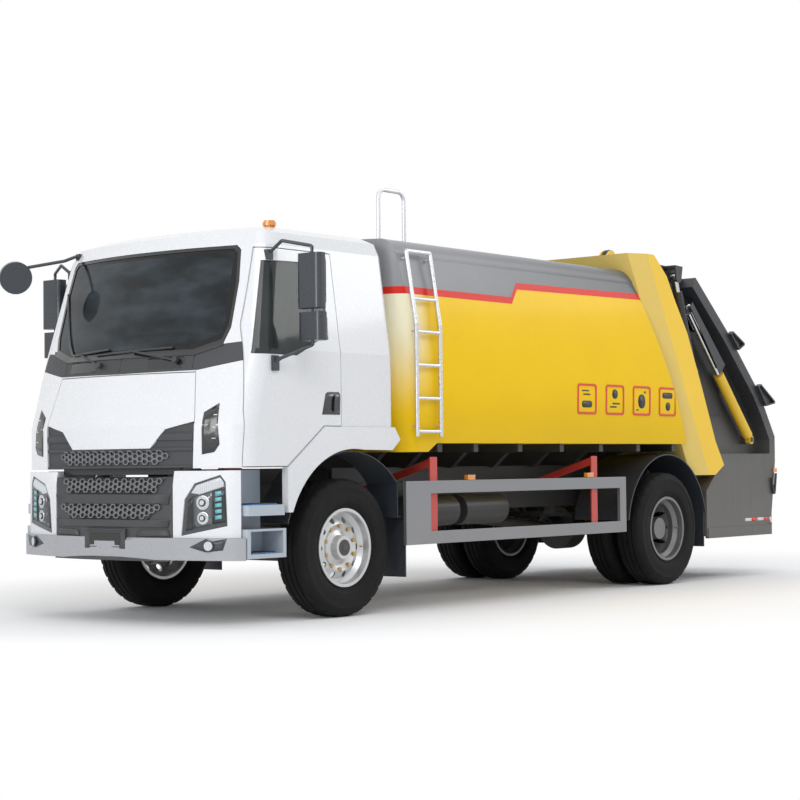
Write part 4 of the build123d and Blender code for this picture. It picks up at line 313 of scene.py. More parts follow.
def side_glass():
    """Grey door glass that lets the cab show faintly."""
    g = Graph("glass_side")
    tone = g.mix(g.span(g.noise(1.5, 3.0), 0.3, 0.7), (0.02, 0.026, 0.026), (0.045, 0.055, 0.055))
    g.join(tone, "Base Color")
    g.join(g.span(g.noise(12.0), 0.3, 0.8, 0.02, 0.07), "Roughness")
    g.join(g.span(g.noise(3.0), 0.3, 0.7, 0.55, 0.68), "Alpha")
    return g.material


def tyre_rubber():
    """Matt black rubber with grey dust in its grain."""
    g = Graph("rubber_tyre")
    grit = g.noise(90.0, 6.0, 0.7)
    cloud = g.noise(4.0, 4.0)
    tone = g.mix(g.span(cloud, 0.35, 0.7), (0.003, 0.003, 0.0033), (0.008, 0.0078, 0.0075))
    tone = g.mix(g.math("MULTIPLY", g.span(grit, 0.5, 0.8), 0.2), tone, (0.03, 0.028, 0.026))
    g.shader.inputs["Specular IOR Level"].default_value = 0.25
    g.join(tone, "Base Color")
    g.join(g.span(grit, 0.2, 0.8, 0.62, 0.92), "Roughness")
    g.bump(0.35, grit)
    return g.material


def lamp(name, colour, rough=0.08, ribs=70.0):
    """Moulded lens: vertical ribs under a clear gloss coat."""
    g = Graph(name)
    inputs = {"Vector": g.place, "Scale": ribs, "Distortion": 0.6, "Detail": 2.0}
    wave = g.node("ShaderNodeTexWave", inputs, bands_direction="Y").outputs["Fac"]
    rib_colour = (1.0, 1.0, 1.0) if min(colour) > 0.4 else (0.05, 0.01, 0.0)
    g.join(g.mix(g.span(wave, 0.0, 1.0, 0.0, 0.35), colour, rib_colour), "Base Color")
    g.join(g.span(g.noise(60.0), 0.3, 0.7, rough, rough + 0.1), "Roughness")
    g.bump(0.25, wave)
    g.shader.inputs["Coat Weight"].default_value = 1.0
    g.shader.inputs["Coat Roughness"].default_value = 0.03
    return g.material


WHITE_PAINT = surface("paint_white", WHITE, 0.26, 0.06, coat=0.8, grain=22.0, depth=0.04, dust=0.06,
                      speckle=0.02)
BODY_PAINT = livery("paint_body", False)
SHIELD_PAINT = livery("paint_shield", True)
FRAME_PAINT = frame_paint()
YELLOW_PAINT = surface("paint_cylinder", (0.80, 0.50, 0.012), 0.4, 0.1, coat=0.3, dust=0.2, edge=0.8,
                       edge_colour=(0.12, 0.10, 0.08), speckle=0.12)
BLACK_PAINT = surface("paint_black", (0.028, 0.030, 0.033), 0.42, 0.14, grain=45.0, depth=0.2, dust=0.16,
                      edge=0.5, edge_colour=(0.20, 0.19, 0.18), speckle=0.1)
TAIL_PAINT = tail_paint()
TRIM = surface("plastic_trim", (0.035, 0.037, 0.041), 0.52, 0.1, grain=420.0, depth=0.35, dust=0.10,
               speckle=0.05)
MESH_GREY = surface("plastic_mesh", (0.15, 0.155, 0.165), 0.40, 0.1, grain=240.0, depth=0.2, dust=0.06)
TRIM_GLOSS = surface("plastic_gloss", (0.012, 0.013, 0.015), 0.16, 0.05, coat=0.5, grain=80.0, depth=0.05,
                     dust=0.05)
MIRROR_CASE = surface("plastic_mirror", (0.030, 0.036, 0.044), 0.30, 0.08, coat=0.2, grain=240.0,
                      depth=0.12, dust=0.0)
ARCH_PLASTIC = surface("plastic_arch", (0.016, 0.022, 0.032), 0.40, 0.1, grain=200.0, depth=0.2, dust=0.12)
SEAT_CLOTH = surface("cloth_seat", (0.10, 0.10, 0.11), 0.85, 0.08, grain=500.0, depth=0.5, dust=0.0,
                     speckle=0.2)
SILVER = surface("metal_guard", (0.27, 0.275, 0.29), 0.36, 0.12, metallic=0.75, grain=160.0, depth=0.1,
                 dust=0.25, edge=0.3)
WHEEL_SILVER = surface("metal_wheel", (0.62, 0.63, 0.64), 0.34, 0.12, metallic=0.7, grain=90.0, depth=0.12,
                       dust=0.18, edge=0.3, edge_colour=(0.25, 0.23, 0.2))
REAR_WHEEL = surface("metal_wheel_rear", (0.20, 0.20, 0.205), 0.42, 0.12, metallic=0.6, grain=90.0,
                     depth=0.15, dust=0.25, edge=0.3, edge_colour=(0.12, 0.11, 0.1))
BUMPER_PAINT = surface("paint_bumper", (0.34, 0.35, 0.37), 0.30, 0.08, coat=0.5, grain=26.0, depth=0.04,
                       dust=0.12, speckle=0.04)
STEP_PAINT = surface("paint_step", (0.42, 0.48, 0.54), 0.38, 0.1, coat=0.2, grain=40.0, depth=0.1, dust=0.2,
                     edge=0.4)
TUBE_SILVER = surface("metal_tube", (0.66, 0.67, 0.69), 0.30, 0.1, metallic=0.6, grain=90.0, depth=0.05,
                      dust=0.05)
CHROME = surface("metal_rod", (0.72, 0.73, 0.75), 0.14, 0.06, metallic=1.0, grain=200.0, depth=0.04,
                 dust=0.02)
BRASS = surface("metal_brass", (0.55, 0.38, 0.16), 0.32, 0.1, metallic=0.9, grain=90.0, depth=0.08,
                dust=0.1, speckle=0.25)
CAST = surface("metal_cast", (0.05, 0.05, 0.052), 0.6, 0.12, metallic=0.3, grain=70.0, depth=0.45,
               dust=0.35, speckle=0.2)
RED_PAINT = surface("paint_red", (0.55, 0.045, 0.03), 0.34, 0.1, coat=0.4, dust=0.12, edge=0.4,
                    speckle=0.12)
RED_MARK = surface("mark_red", (0.72, 0.05, 0.035), 0.35, 0.06, grain=120.0, depth=0.04, dust=0.0,
                   speckle=0.04)
WHITE_MARK = surface("mark_white", (0.74, 0.74, 0.73), 0.35, 0.06, grain=160.0, depth=0.06, dust=0.08,
                     speckle=0.05)
BLACK_MARK = surface("mark_black", (0.02, 0.02, 0.02), 0.38, 0.06, grain=120.0, depth=0.04, dust=0.0)
BLUE_PART = surface("plastic_blue", (0.01, 0.16, 0.42), 0.35, 0.08, coat=0.3, grain=180.0, depth=0.3,
                    dust=0.08)
HOSE = surface("rubber_hose", (0.022, 0.022, 0.024), 0.5, 0.1, grain=220.0, depth=0.3, dust=0.1)
PALE_HOSE = surface("plastic_pale", (0.55, 0.56, 0.57), 0.4, 0.1, grain=140.0, depth=0.2, dust=0.05,
                    speckle=0.15)
AMBER = lamp("lens_amber", (0.85, 0.30, 0.02))
RED_LENS = lamp("lens_red", (0.60, 0.015, 0.01))
CLEAR_LENS = lamp("lens_clear", (0.44, 0.47, 0.50))
TEAL = lamp("lens_teal", (0.10, 0.50, 0.55))
SCREEN_GLASS = windscreen_glass()
SIDE_GLASS = side_glass()
RUBBER = tyre_rubber()
MIRROR = surface("glass_mirror", (0.62, 0.66, 0.66), 0.03, 0.01, metallic=1.0, grain=10.0, depth=0.01,
                 dust=0.0, speckle=0.02)
LAMP_BACK = surface("lamp_back", (0.16, 0.17, 0.18), 0.18, 0.06, metallic=0.8, grain=60.0, depth=0.1,
                    dust=0.0)
LAMP_BODY = surface("lamp_body", (0.05, 0.055, 0.06), 0.10, 0.04, coat=1.0, grain=40.0, depth=0.1, dust=0.0)

NODE_LOOKS = {
    WHITE_PAINT: "cab_shell door_l door_r cab_front_panel cab_fenders lamp_surrounds",
    BUMPER_PAINT: "bumper",
    STEP_PAINT: "cab_steps",
    BODY_PAINT: "body_shell",
    SHIELD_PAINT: "front_shield",
    FRAME_PAINT: "rear_frame",
    YELLOW_PAINT: "slide_barrels",
    TAIL_PAINT: "tailgate_shell slide_carriage packer_blade bin_lifter lift_barrels packer_barrels "
                "lifter_barrels slide_guards",
    BLACK_PAINT: "chassis_frame front_axle rear_axle silencer air_tanks ejector_plate radiator",
    CAST: "driveline knuckle_l knuckle_r",
    TRIM: "cowl upper_grille lower_grille",
    MIRROR_CASE: "mirror_l mirror_r front_mirror",
    ARCH_PLASTIC: "rear_mudguards wheel_arches",
    SEAT_CLOTH: "cab_interior",
    SILVER: "side_guards fuel_tank",
    WHEEL_SILVER: "rim_fl rim_fr",
    REAR_WHEEL: "rim_rl rim_rr",
    TUBE_SILVER: "ladder",
    CHROME: "slide_rods lift_rods packer_rods lifter_rods",
    RED_PAINT: "guard_hangers",
    SCREEN_GLASS: "windscreen",
    SIDE_GLASS: "door_glass_l door_glass_r",
    LAMP_BODY: "headlamps",
    AMBER: "roof_beacon",
}
for look, names in NODE_LOOKS.items():
    for name in names.split():
        mesh = frame["nodes"][name].data
        mesh.materials.clear()
        mesh.materials.append(look)


# ---- mesh tools
AWAY = 9.0                   # rays towards the truck start this far out
OUTWARD = {
    "front": Vector((0, -1, 0)),
    "rear": Vector((0, 1, 0)),
    "left": Vector((1, 0, 0)),
    "right": Vector((-1, 0, 0)),
}


def settle(made, body):
    """Puts an object in the scene on its body."""
    bpy.context.scene.collection.objects.link(made)
    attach(made, body)


def piece(name, verts, faces, body, look, smooth=False, thick=0.0, bevel=0.0):
    """Mesh object that rides on a body and wears a material."""
    mesh = bpy.data.meshes.new(name)
    mesh.from_pydata([tuple(v) for v in verts], [], faces)
    mesh.update()
    mesh.materials.append(look)
    made = bpy.data.objects.new(name, mesh)
    settle(made, body)
    if thick:
        shell = made.modifiers.new("thick", "SOLIDIFY")
        shell.thickness = thick
        shell.offset = 1.0
    if bevel:
        edge = made.modifiers.new("edge", "BEVEL")
        edge.width = bevel
        edge.segments = 2
        edge.limit_method = "ANGLE"
    for polygon in mesh.polygons:
        polygon.use_smooth = smooth
    return made


def fix_normals(made):
    """Turns every face of a mesh outwards."""
    mesh = bmesh.new()
    mesh.from_mesh(made.data)
    bmesh.ops.recalc_face_normals(mesh, faces=mesh.faces)
    mesh.to_mesh(made.data)
    mesh.free()


def band(count):
    """Quads between two rows of count points that close on themselves."""
    return [(i, (i + 1) % count, (i + 1) % count + count, i + count) for i in range(count)]


def side_prism(name, outline, x_low, x_high, body, look, bevel=0.002):
    """Plate with a (y, z) outline between two x planes."""
    count = len(outline)
    verts = [(x, y, z) for x in (x_low, x_high) for y, z in outline]
    faces = [tuple(range(count))[::-1], tuple(range(count, 2 * count))] + band(count)
    made = piece(name, verts, faces, body, look, bevel=bevel)
    fix_normals(made)
    return made


def box(name, low, high, body, look, bevel=0.003):
    """Block between two corners."""
    outline = [(low[1], low[2]), (high[1], low[2]), (high[1], high[2]), (low[1], high[2])]
    return side_prism(name, outline, low[0], high[0], body, look, bevel)


def disc(name, centre, axis, radius, depth, body, look, sides=32, bevel=0.002):
    """Short round plug whose far face points along axis."""
    turn = Vector((0, 0, 1)).rotation_difference(Vector(axis)).to_matrix()
    angles = [2 * math.pi * i / sides for i in range(sides)]
    verts = [Vector(centre) + turn @ Vector((radius * math.cos(a), radius * math.sin(a), height))
             for height in (0.0, depth) for a in angles]
    faces = [tuple(range(sides))[::-1], tuple(range(sides, 2 * sides))] + band(sides)
    return piece(name, verts, faces, body, look, bevel=bevel)


def tube(name, points, radius, body, look):
    """Smooth pipe or hose along points."""
    curve = bpy.data.curves.new(name, "CURVE")
    curve.dimensions = "3D"
    curve.bevel_depth = radius
    curve.bevel_resolution = 3
    curve.use_fill_caps = True
    line = curve.splines.new("NURBS")
    line.points.add(len(points) - 1)
    for point, place in zip(line.points, points):
        point.co = (*place, 1.0)
    line.order_u = 3
    line.use_endpoint_u = True
    curve.materials.append(look)
    made = bpy.data.objects.new(name, curve)
    settle(made, body)
    return made


TREES = {}


def tree_of(node):
    """Ray-casting tree of a node's mesh, built once."""
    if node not in TREES:
        mesh = frame["nodes"][node].data
        corners = [v.co for v in mesh.vertices]
        TREES[node] = BVHTree.FromPolygons(corners, [tuple(p.vertices) for p in mesh.polygons])
    return TREES[node]


def drop(node, across, up, view):
    """Place on a node's surface that a view shows at (across, up), or the nearest one if it shows none."""
    out = OUTWARD[view]
    flat = Vector((across, 0, up)) if out.y else Vector((0, across, up))
    start = flat + out * AWAY
    place = tree_of(node).ray_cast(start, -out)[0]
    if place is None:
        place = tree_of(node).find_nearest(flat + out * 1.5)[0]
    return place


def patch(name, outline, node, view, body, look, lift=0.003, cuts=5):
    """Thin skin inside an outline, laid on a node's surface as a view shows it."""
    mesh = bmesh.new()
    corners = [mesh.verts.new((a, 0, b)) for a, b in outline]
    mesh.faces.new(corners)
    bmesh.ops.triangulate(mesh, faces=mesh.faces[:])
    if cuts:
        bmesh.ops.subdivide_edges(mesh, edges=mesh.edges[:], cuts=cuts, use_grid_fill=True)
        bmesh.ops.triangulate(mesh, faces=mesh.faces[:])
    out = OUTWARD[view]
    verts = [drop(node, vert.co.x, vert.co.z, view) + out * lift for vert in mesh.verts]
    mesh.verts.index_update()
    faces = [tuple(v.index for v in face.verts) for face in mesh.faces]
    mesh.free()
    made = piece(name, verts, faces, body, look, smooth=True)
    fix_normals(made)
    if made.data.polygons[0].normal.dot(out) < 0:
        made.data.flip_normals()
    shell = made.modifiers.new("thick", "SOLIDIFY")
    shell.thickness = lift + 0.002
    shell.offset = -1.0
    return made


def sided(side, outline):
    """A front outline of the left half, moved to a side."""
    return [(side * x, z) for x, z in outline]


def mirrored(points):
    """A front outline of the left half, closed across the truck."""
    return points + [(-x, z) for x, z in reversed(points)]


def rounded(low, high, radius, steps=4):
    """Rectangle outline with round corners."""
    (a0, b0), (a1, b1) = low, high
    corners = ((a1 - radius, b1 - radius, 0), (a0 + radius, b1 - radius, 90),
               (a0 + radius, b0 + radius, 180), (a1 - radius, b0 + radius, 270))
    points = []
    for a, b, start in corners:
        for i in range(steps + 1):
            turn = math.radians(start + 90 * i / steps)
            points.append((a + radius * math.cos(turn), b + radius * math.sin(turn)))
    return points


def ring(name, outline, inner, node, view, body, look, lift=0.004):
    """Flat frame between two outlines of equal length, laid on a surface."""
    verts = [drop(node, a, b, view) + OUTWARD[view] * lift for a, b in outline + inner]
    return piece(name, verts, band(len(outline)), body, look, thick=0.002)


def inside(a, b, outline):
    """True where a point lies within an outline."""
    hit = False
    for (a0, b0), (a1, b1) in zip(outline, outline[1:] + outline[:1]):
        if (b0 > b) != (b1 > b) and a < (a1 - a0) * (b - b0) / (b1 - b0) + a0:
            hit = not hit
    return hit


HEX_CELL = 0.062             # width of a grille cell over its points
HEX_SQUASH = 0.78            # its height against a regular hexagon's
HEX_HOLE = 0.68              # the hole's share of a cell
HEX_LAP = 1.04               # how far a cell's rim runs over its neighbour's
HEX_ROWS = 8


def honeycomb(name, outline, node, body, lift):
    """Hexagon mesh inside a front outline, following a node's face."""
    verts, faces = [], []
    wide = HEX_CELL * 0.75
    tall = HEX_CELL * HEX_SQUASH * math.sqrt(3) / 2
    columns = int(2.0 / wide)
    low = min(b for _, b in outline)
    for col in range(-columns // 2, columns // 2 + 1):
        for row in range(HEX_ROWS):
            a = col * wide
            b = low + (row + 0.5 + (0.5 if col % 2 else 0.0)) * tall
            if not inside(a, b, outline):
                continue
            base = len(verts)
            for scale in (HEX_LAP, HEX_HOLE):
                for corner in range(6):
                    turn = math.radians(60 * corner)
                    x = a + HEX_CELL / 2 * scale * math.cos(turn)
                    z = b + HEX_CELL / 2 * HEX_SQUASH * scale * math.sin(turn)
                    verts.append(drop(node, x, z, "front") + OUTWARD["front"] * lift)
            faces += [tuple(base + index for index in quad) for quad in band(6)]
    return piece(name, verts, faces, body, MESH_GREY, thick=0.008)


# ---- wheels
WHEELS = [("fl", 1, True), ("fr", -1, True), ("rl", 1, False), ("rr", -1, False)]
BEAD = 0.288                 # radius where the tyre meets its rim
TYRE_WIDE = 0.28
TREAD_HALF = 0.098
GROOVES = (-0.052, 0.0, 0.052)
GROOVE_DEPTH = 0.012
SHOULDER = (0.066, 0.1235)   # the lugs' span, from the tyre's middle
LUG_FOOT = 0.49              # radius above which a lug gap is cut
LUG_EVERY = 6                # steps round the tyre from gap to gap
TYRE_STEPS = 168
NUTS = 10
NUT_CIRCLE = 0.1675
NUT_FACE = {True: 0.038, False: -0.155}      # front and rear disc faces, out from the outer tyre's middle


def tyre_profile():
    """(radius, distance across) from bead to bead, with rings on the wall and grooves in the tread."""
    outer = FRONT.z
    half = [(BEAD, 0.104), (BEAD + 0.016, 0.106), (BEAD + 0.03, 0.118), (BEAD + 0.034, 0.116),
            (0.345, 0.132), (0.35, 0.1345), (0.36, 0.1345), (0.365, 0.136), (0.405, 0.1395),
            (0.45, 0.1345), (0.454, 0.1365), (0.462, 0.1355), (0.467, 0.133), (0.495, 0.1235),
            (outer - 0.012, 0.112), (outer - 0.003, TREAD_HALF)]
    tread = []
    for groove in reversed(GROOVES):
        for offset, depth in ((0.007, 0.0), (0.004, GROOVE_DEPTH), (-0.004, GROOVE_DEPTH), (-0.007, 0.0)):
            tread.append((outer - depth, groove + offset))
    return half + tread + [(r, -x) for r, x in reversed(half)]


def tyre(name, centre, body):
    """Tyre with wall rings, tread grooves and lug gaps that alternate between its shoulders."""
    profile = tyre_profile()
    last = len(profile)
    verts, faces = [], []
    for i in range(TYRE_STEPS):
        turn = 2 * math.pi * i / TYRE_STEPS
        for radius, across in profile:
            phase = i % LUG_EVERY if across > 0 else (i + LUG_EVERY // 2) % LUG_EVERY
            gap = SHOULDER[0] < abs(across) < SHOULDER[1] and radius > LUG_FOOT and phase == 0
            r = radius - (GROOVE_DEPTH if gap else 0.0)
            along, up = r * math.cos(turn), r * math.sin(turn)
            verts.append((centre[0] + across, centre[1] + along, centre[2] + up))
    for i in range(TYRE_STEPS):
        here, there = i * last, (i + 1) % TYRE_STEPS * last
        faces += [(here + j, there + j, there + (j + 1) % last, here + (j + 1) % last) for j in range(last)]
    made = piece(name, verts, faces, body, RUBBER)
    fix_normals(made)
    made.data.shade_smooth()
    made.data.set_sharp_from_angle(angle=math.radians(35))
    return made


def dress_wheel(name, side, front):
    """Tyres (twins at the rear), nuts, valve and, at the front, the hub's cap."""
    body = f"wheel_{name}"
    centres = [axle(f"tyre_{name}")]
    if not front:
        low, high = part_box(f"tyre_{name}")
        centres = [Vector((x, REAR.y, REAR.z)) for x in (high[0] - TYRE_WIDE / 2, low[0] + TYRE_WIDE / 2)]
    treads = [tyre(f"tread_{name}_{index}", centre, body) for index, centre in enumerate(centres)]
    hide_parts(f"tyre_{name}")
    outer = max(centres, key=lambda c: abs(c.x))
    way = (side, 0, 0)
    for nut in range(NUTS):
        turn = 2 * math.pi * (nut + 0.5) / NUTS
        along, up = NUT_CIRCLE * math.cos(turn), NUT_CIRCLE * math.sin(turn)
        place = (outer.x + side * NUT_FACE[front], outer.y + along, outer.z + up)
        disc(f"nut_{name}_{nut}", place, way, 0.017, 0.034, body, BRASS, sides=6)
    if front:
        disc(f"hubcap_{name}", outer + Vector((side * 0.10, 0, 0)), way, 0.062, 0.012, body, BLACK_PAINT)
        disc(f"hubstar_{name}", outer + Vector((side * 0.108, 0, 0)), way, 0.03, 0.008, body, CAST, sides=6)
    disc(f"valve_{name}", outer + Vector((side * 0.06, 0.235, 0)), way, 0.005, 0.03, body, BRASS, sides=10)


for name, side, front in WHEELS:
    dress_wheel(name, side, front)


# ---- grille and plate
NOSE = -1.440                # foremost point, from the front axle
NOSE_RADIUS = 3.2            # of the nose, seen from above
MESH_TOP = [(0.44, 1.170), (0.60, 1.200), (0.60, 1.262)]
MESH_LOW = ((0.965, 1.072, 0.44, 0.59), (0.776, 0.870, 0.43, 0.546))     # foot, top, half widths at both
GRILLE_BARS = ((0.880, 0.955, 0.625), (0.712, 0.768, 0.620))             # foot, top, half width
PLATE_FACE = fa(NOSE + 0.004)
PLATE_LIPS = ((0.566, 0.572), (0.686, 0.692))                            # foot, top


def grille():
    """Hexagon meshes, dark backs of painted shade behind them and the bars between them."""
    honeycomb("mesh_upper", mirrored(MESH_TOP), "upper_grille", "front_flap", 0.004)
    for index, (low, high, wide_low, wide_high) in enumerate(MESH_LOW):
        back = mirrored([(wide_low, low - 0.006), (wide_high, high + 0.006)])
        # painted shade: dark sheet standing for the shaded opening behind the mesh
        patch(f"grille_shade_back_{index}", back, "lower_grille", "front", "chassis", BLACK_MARK, lift=0.002)
        cells = mirrored([(wide_low, low), (wide_high, high - 0.01)])
        honeycomb(f"mesh_lower_{index}", cells, "lower_grille", "chassis", 0.006)
    for index, (low, high, half) in enumerate(GRILLE_BARS):
        bar = mirrored([(half - 0.02, low), (half, high)])
        patch(f"grille_bar_{index}", bar, "lower_grille", "front", "chassis", TRIM, lift=0.010)


def plate():
    """Blank number plate in its frame."""
    box("plate_back", (-0.22, PLATE_FACE, 0.555), (0.22, PLATE_FACE + 0.03, 0.700), "chassis", TRIM)
    for index, (low, high) in enumerate(PLATE_LIPS):
        corners = (-0.20, PLATE_FACE - 0.003, low), (0.20, PLATE_FACE, high)
        box(f"plate_lip_{index}", *corners, "chassis", TRIM_GLOSS, 0.001)
    corners = (-0.17, PLATE_FACE - 0.002, 0.582), (0.17, PLATE_FACE, 0.676)
    box("plate_inner", *corners, "chassis", BLACK_MARK, 0.001)


def nose_strip(name, half, low, high, back, body, look, thick=0.004, cells=24):
    """Upright strip across the truck that follows the nose's curve, a set way behind its front."""
    verts = []
    for i in range(cells + 1):
        x = -half + 2 * half * i / cells
        verts += [(x, fa(NOSE + back + x * x / (2 * NOSE_RADIUS)), z) for z in (low, high)]
    faces = [(2 * i, 2 * i + 2, 2 * i + 3, 2 * i + 1) for i in range(cells)]
    return piece(name, verts, faces, body, look, thick=thick)


grille()
plate()
# painted shadow: dark strip in the gap between the upper and lower grille
nose_strip("grille_gap_shadow", 0.64, 1.095, 1.148, 0.105, "cab", BLACK_MARK)
nose_strip("air_dam", 0.62, 0.470, 0.492, 0.012, "chassis", TRIM, thick=0.010)


# ---- lamps and corner vents
VENT = ((0.873, 1.542), (0.98, 1.606), (1.011, 1.309), (0.97, 1.255), (0.874, 1.239))
VENT_TICKS = (1.52, 1.43, 1.35)
LAMP_FACES = (               # outline, material, lift off the lamp's face
    (((0.79, 0.962), (0.832, 1.018), (1.018, 1.074), (1.046, 1.036), (1.048, 1.008), (0.86, 0.952)),
     CLEAR_LENS, 0.004),
    (((0.745, 0.690), (0.765, 0.905), (0.800, 0.940), (0.800, 0.700)), TRIM_GLOSS, 0.003),
    (((0.806, 0.705), (0.806, 0.940), (0.955, 0.975), (0.955, 0.735)), LAMP_BACK, 0.003),
    (((0.962, 0.978), (1.050, 0.998), (1.060, 0.755), (0.962, 0.738)), TRIM_GLOSS, 0.004),
)
CELLS = (5, 0.772, 0.043)    # count, foot of the lowest and pitch of the lit cells
BOWLS = ((0.880, 0.893, 0.052), (0.880, 0.782, 0.046))       # x, z, radius
FOG = (0.953, 0.585)
# dark patch of painted shade in the bumper's recess round the fog lamp
FOG_RECESS_SHADE = ((0.80, 0.575), (0.93, 0.635), (1.10, 0.665), (1.06, 0.555), (0.93, 0.540))
POD = ((0.31, 0.645), (0.33, 0.690), (0.60, 0.698), (0.62, 0.650))


def corner_vent(side, tag):
    """Black air outlet on the cab's corner with three white ticks."""
    patch(f"vent_{tag}", sided(side, VENT), "cab_shell", "front", "cab", TRIM_GLOSS, lift=0.004, cuts=4)
    for index, z in enumerate(VENT_TICKS):
        tick = sided(side, ((0.955, z), (0.985, z), (0.985, z + 0.006), (0.955, z + 0.006)))
        patch(f"vent_tick_{tag}_{index}", tick, "cab_shell", "front", "cab", WHITE_MARK, lift=0.009, cuts=1)


def headlamp(side, tag):
    """Lamp insides: panels, a column of lit cells and two bowls with their bulbs."""
    for index, (outline, look, lift) in enumerate(LAMP_FACES):
        name = f"lamp_face_{tag}_{index}"
        patch(name, sided(side, outline), "headlamps", "front", "chassis", look, lift=lift, cuts=4)
    count, foot, pitch = CELLS
    for cell in range(count):
        low = foot + cell * pitch
        square = ((0.982, low), (1.030, low + 0.006), (1.030, low + 0.034), (0.982, low + 0.028))
        name = f"lamp_cell_{tag}_{cell}"
        patch(name, sided(side, square), "headlamps", "front", "chassis", TEAL, lift=0.007, cuts=1)
    facing = (side * 0.30, -1, 0)
    for index, (x, z, radius) in enumerate(BOWLS):
        place = drop("headlamps", side * x, z, "front")
        sunk = place + Vector((0, 0.012, 0))
        disc(f"lamp_bowl_{tag}_{index}", sunk, facing, radius, 0.020, "chassis", CHROME)
        disc(f"lamp_bulb_{tag}_{index}", place, facing, radius * 0.55, 0.014, "chassis", TRIM_GLOSS)
        disc(f"lamp_eye_{tag}_{index}", place, facing, radius * 0.36, 0.018, "chassis", CLEAR_LENS)


def fog_lamp(side, tag):
    """Round lamp in a pointed recess of the bumper, whose shade is a painted dark patch."""
    place = drop("bumper", side * FOG[0], FOG[1], "front")
    outline = sided(side, FOG_RECESS_SHADE)
    # painted shade: dark patch filling the recess
    patch(f"fog_recess_shade_{tag}", outline, "bumper", "front", "chassis", MIRROR_CASE, lift=0.002, cuts=3)
    disc(f"fog_ring_{tag}", place, (side * 0.45, -1, 0), 0.042, 0.016, "chassis", TRIM_GLOSS)
    disc(f"fog_lens_{tag}", place, (side * 0.45, -1, 0), 0.033, 0.020, "chassis", CLEAR_LENS)


for side, tag, _, _ in SIDES:
    corner_vent(side, tag)
    headlamp(side, tag)
    fog_lamp(side, tag)
    patch(f"pod_{tag}", sided(side, POD), "lower_grille", "front", "chassis", TRIM, lift=0.010, cuts=3)


# ---- wipers and cowl
SCREEN_FOOT_Z = 1.975        # below this a wiper's arm runs over the cowl
COWL_VENTS = (((0.28, 1.875), (0.62, 1.955)), ((-0.62, 1.875), (-0.28, 1.955)))


def wiper(tag, pivot, tip, park):
    """Arm from its spindle to a long blade lying across the foot of the screen."""
    foot = drop("cowl", *pivot, "front") + Vector((0, -0.012, 0))
    arm = []
    for t in (0.3, 0.65, 1.0):
        x, z = pivot[0] + (tip[0] - pivot[0]) * t, pivot[1] + (tip[1] - pivot[1]) * t
        node = "cowl" if z < SCREEN_FOOT_Z else "windscreen"
        arm.append(drop(node, x, z, "front") + Vector((0, -0.030, 0.004)))
    disc(f"wiper_hub_{tag}", foot, (0, -1, 0.25), 0.024, 0.03, "cab", TRIM)
    tube(f"wiper_arm_{tag}", [foot + Vector((0, -0.02, 0))] + arm, 0.008, "cab", TRIM)
    blade = []
    for t in (-1.0, -0.5, 0.0, 0.5, 1.0):
        x, z = tip[0] + park[0] * t, tip[1] + park[1] * t
        blade.append(drop("windscreen", x, z, "front") + Vector((0, -0.014, 0)))
    tube(f"wiper_blade_{tag}", blade, 0.009, "cab", TRIM_GLOSS)


wiper("a", (0.56, 1.93), (0.10, 2.015), (0.40, 0.012))
wiper("b", (-0.22, 1.92), (-0.52, 2.02), (0.36, 0.02))
for index, (low, high) in enumerate(COWL_VENTS):
    patch(f"cowl_vent_{index}", rounded(low, high, 0.012), "cowl", "front", "cab", TRIM_GLOSS, lift=0.002)


# ---- doors and mirrors
HANDLE_RECESS = ((-0.355, 1.530), (-0.155, 1.530), (-0.150, 1.68), (-0.165, 1.700), (-0.290, 1.700),
                 (-0.315, 1.685))                          # y from the front axle, z
HANDLE_OUT = 0.016
MIRROR_MID = 1.42            # middle of the mirror heads, across
MIRROR_GLASSES = ((-0.700, 2.300, 2.680), (-0.690, 2.065, 2.252))        # y from the front axle, foot, top
GLASS_HALF = 0.095
GLASS_EDGE = 0.012
DISH = Vector((-1.216, fa(-1.275), 2.660))
DISH_AXIS = Vector((0.855, -0.453, -0.252))


def door_handle(side, tag, view, body):
    """Dark recess in the door with a grip that stands across it."""
    door = f"door_{tag}"
    recess = [(fa(y), z) for y, z in HANDLE_RECESS]
    patch(f"handle_recess_{tag}", recess, door, view, body, TRIM_GLOSS, lift=0.002, cuts=3)
    skin = drop(door, fa(-0.22), 1.6, view).x
    out = skin + side * HANDLE_OUT
    grip = ((skin, -0.215, 1.675), (out, -0.215, 1.665), (out, -0.222, 1.61), (out, -0.225, 1.56),
            (skin, -0.226, 1.55))
    tube(f"handle_{tag}", [(x, fa(y), z) for x, y, z in grip], 0.010, body, MIRROR_CASE)


def mirror_glasses(side, tag, body):
    """Main and wide-angle glass on the back of the mirror heads."""
    middle = side * MIRROR_MID
    for index, (y, low, high) in enumerate(MIRROR_GLASSES):
        corners = (middle - GLASS_HALF, low + GLASS_EDGE), (middle + GLASS_HALF, high - GLASS_EDGE)
        verts = [(x, fa(y) + 0.0505, z) for x, z in rounded(*corners, 0.03)]
        face = tuple(range(len(verts)))
        piece(f"mirror_glass_{tag}_{index}", verts, [face], body, MIRROR, thick=0.0015)


for side, tag, view, body in SIDES:
    door_handle(side, tag, view, body)
    mirror_glasses(side, tag, body)
disc("front_mirror_glass", DISH - DISH_AXIS * 0.001, -DISH_AXIS, 0.112, 0.003, "cab", MIRROR, sides=48)


# ---- cab steps
STEPS = (                    # front and rear edge from the front axle, inner and outer edge, tread height
    (-1.10, -0.84, 1.06, 1.19, 0.872),
    (-1.08, -0.84, 1.00, 1.17, 0.522),
)
MAT = 0.008                  # thickness of a step's blue mat
RIB = (0.03, 0.05, 0.012, 0.005)             # first from the edge, pitch, width, height


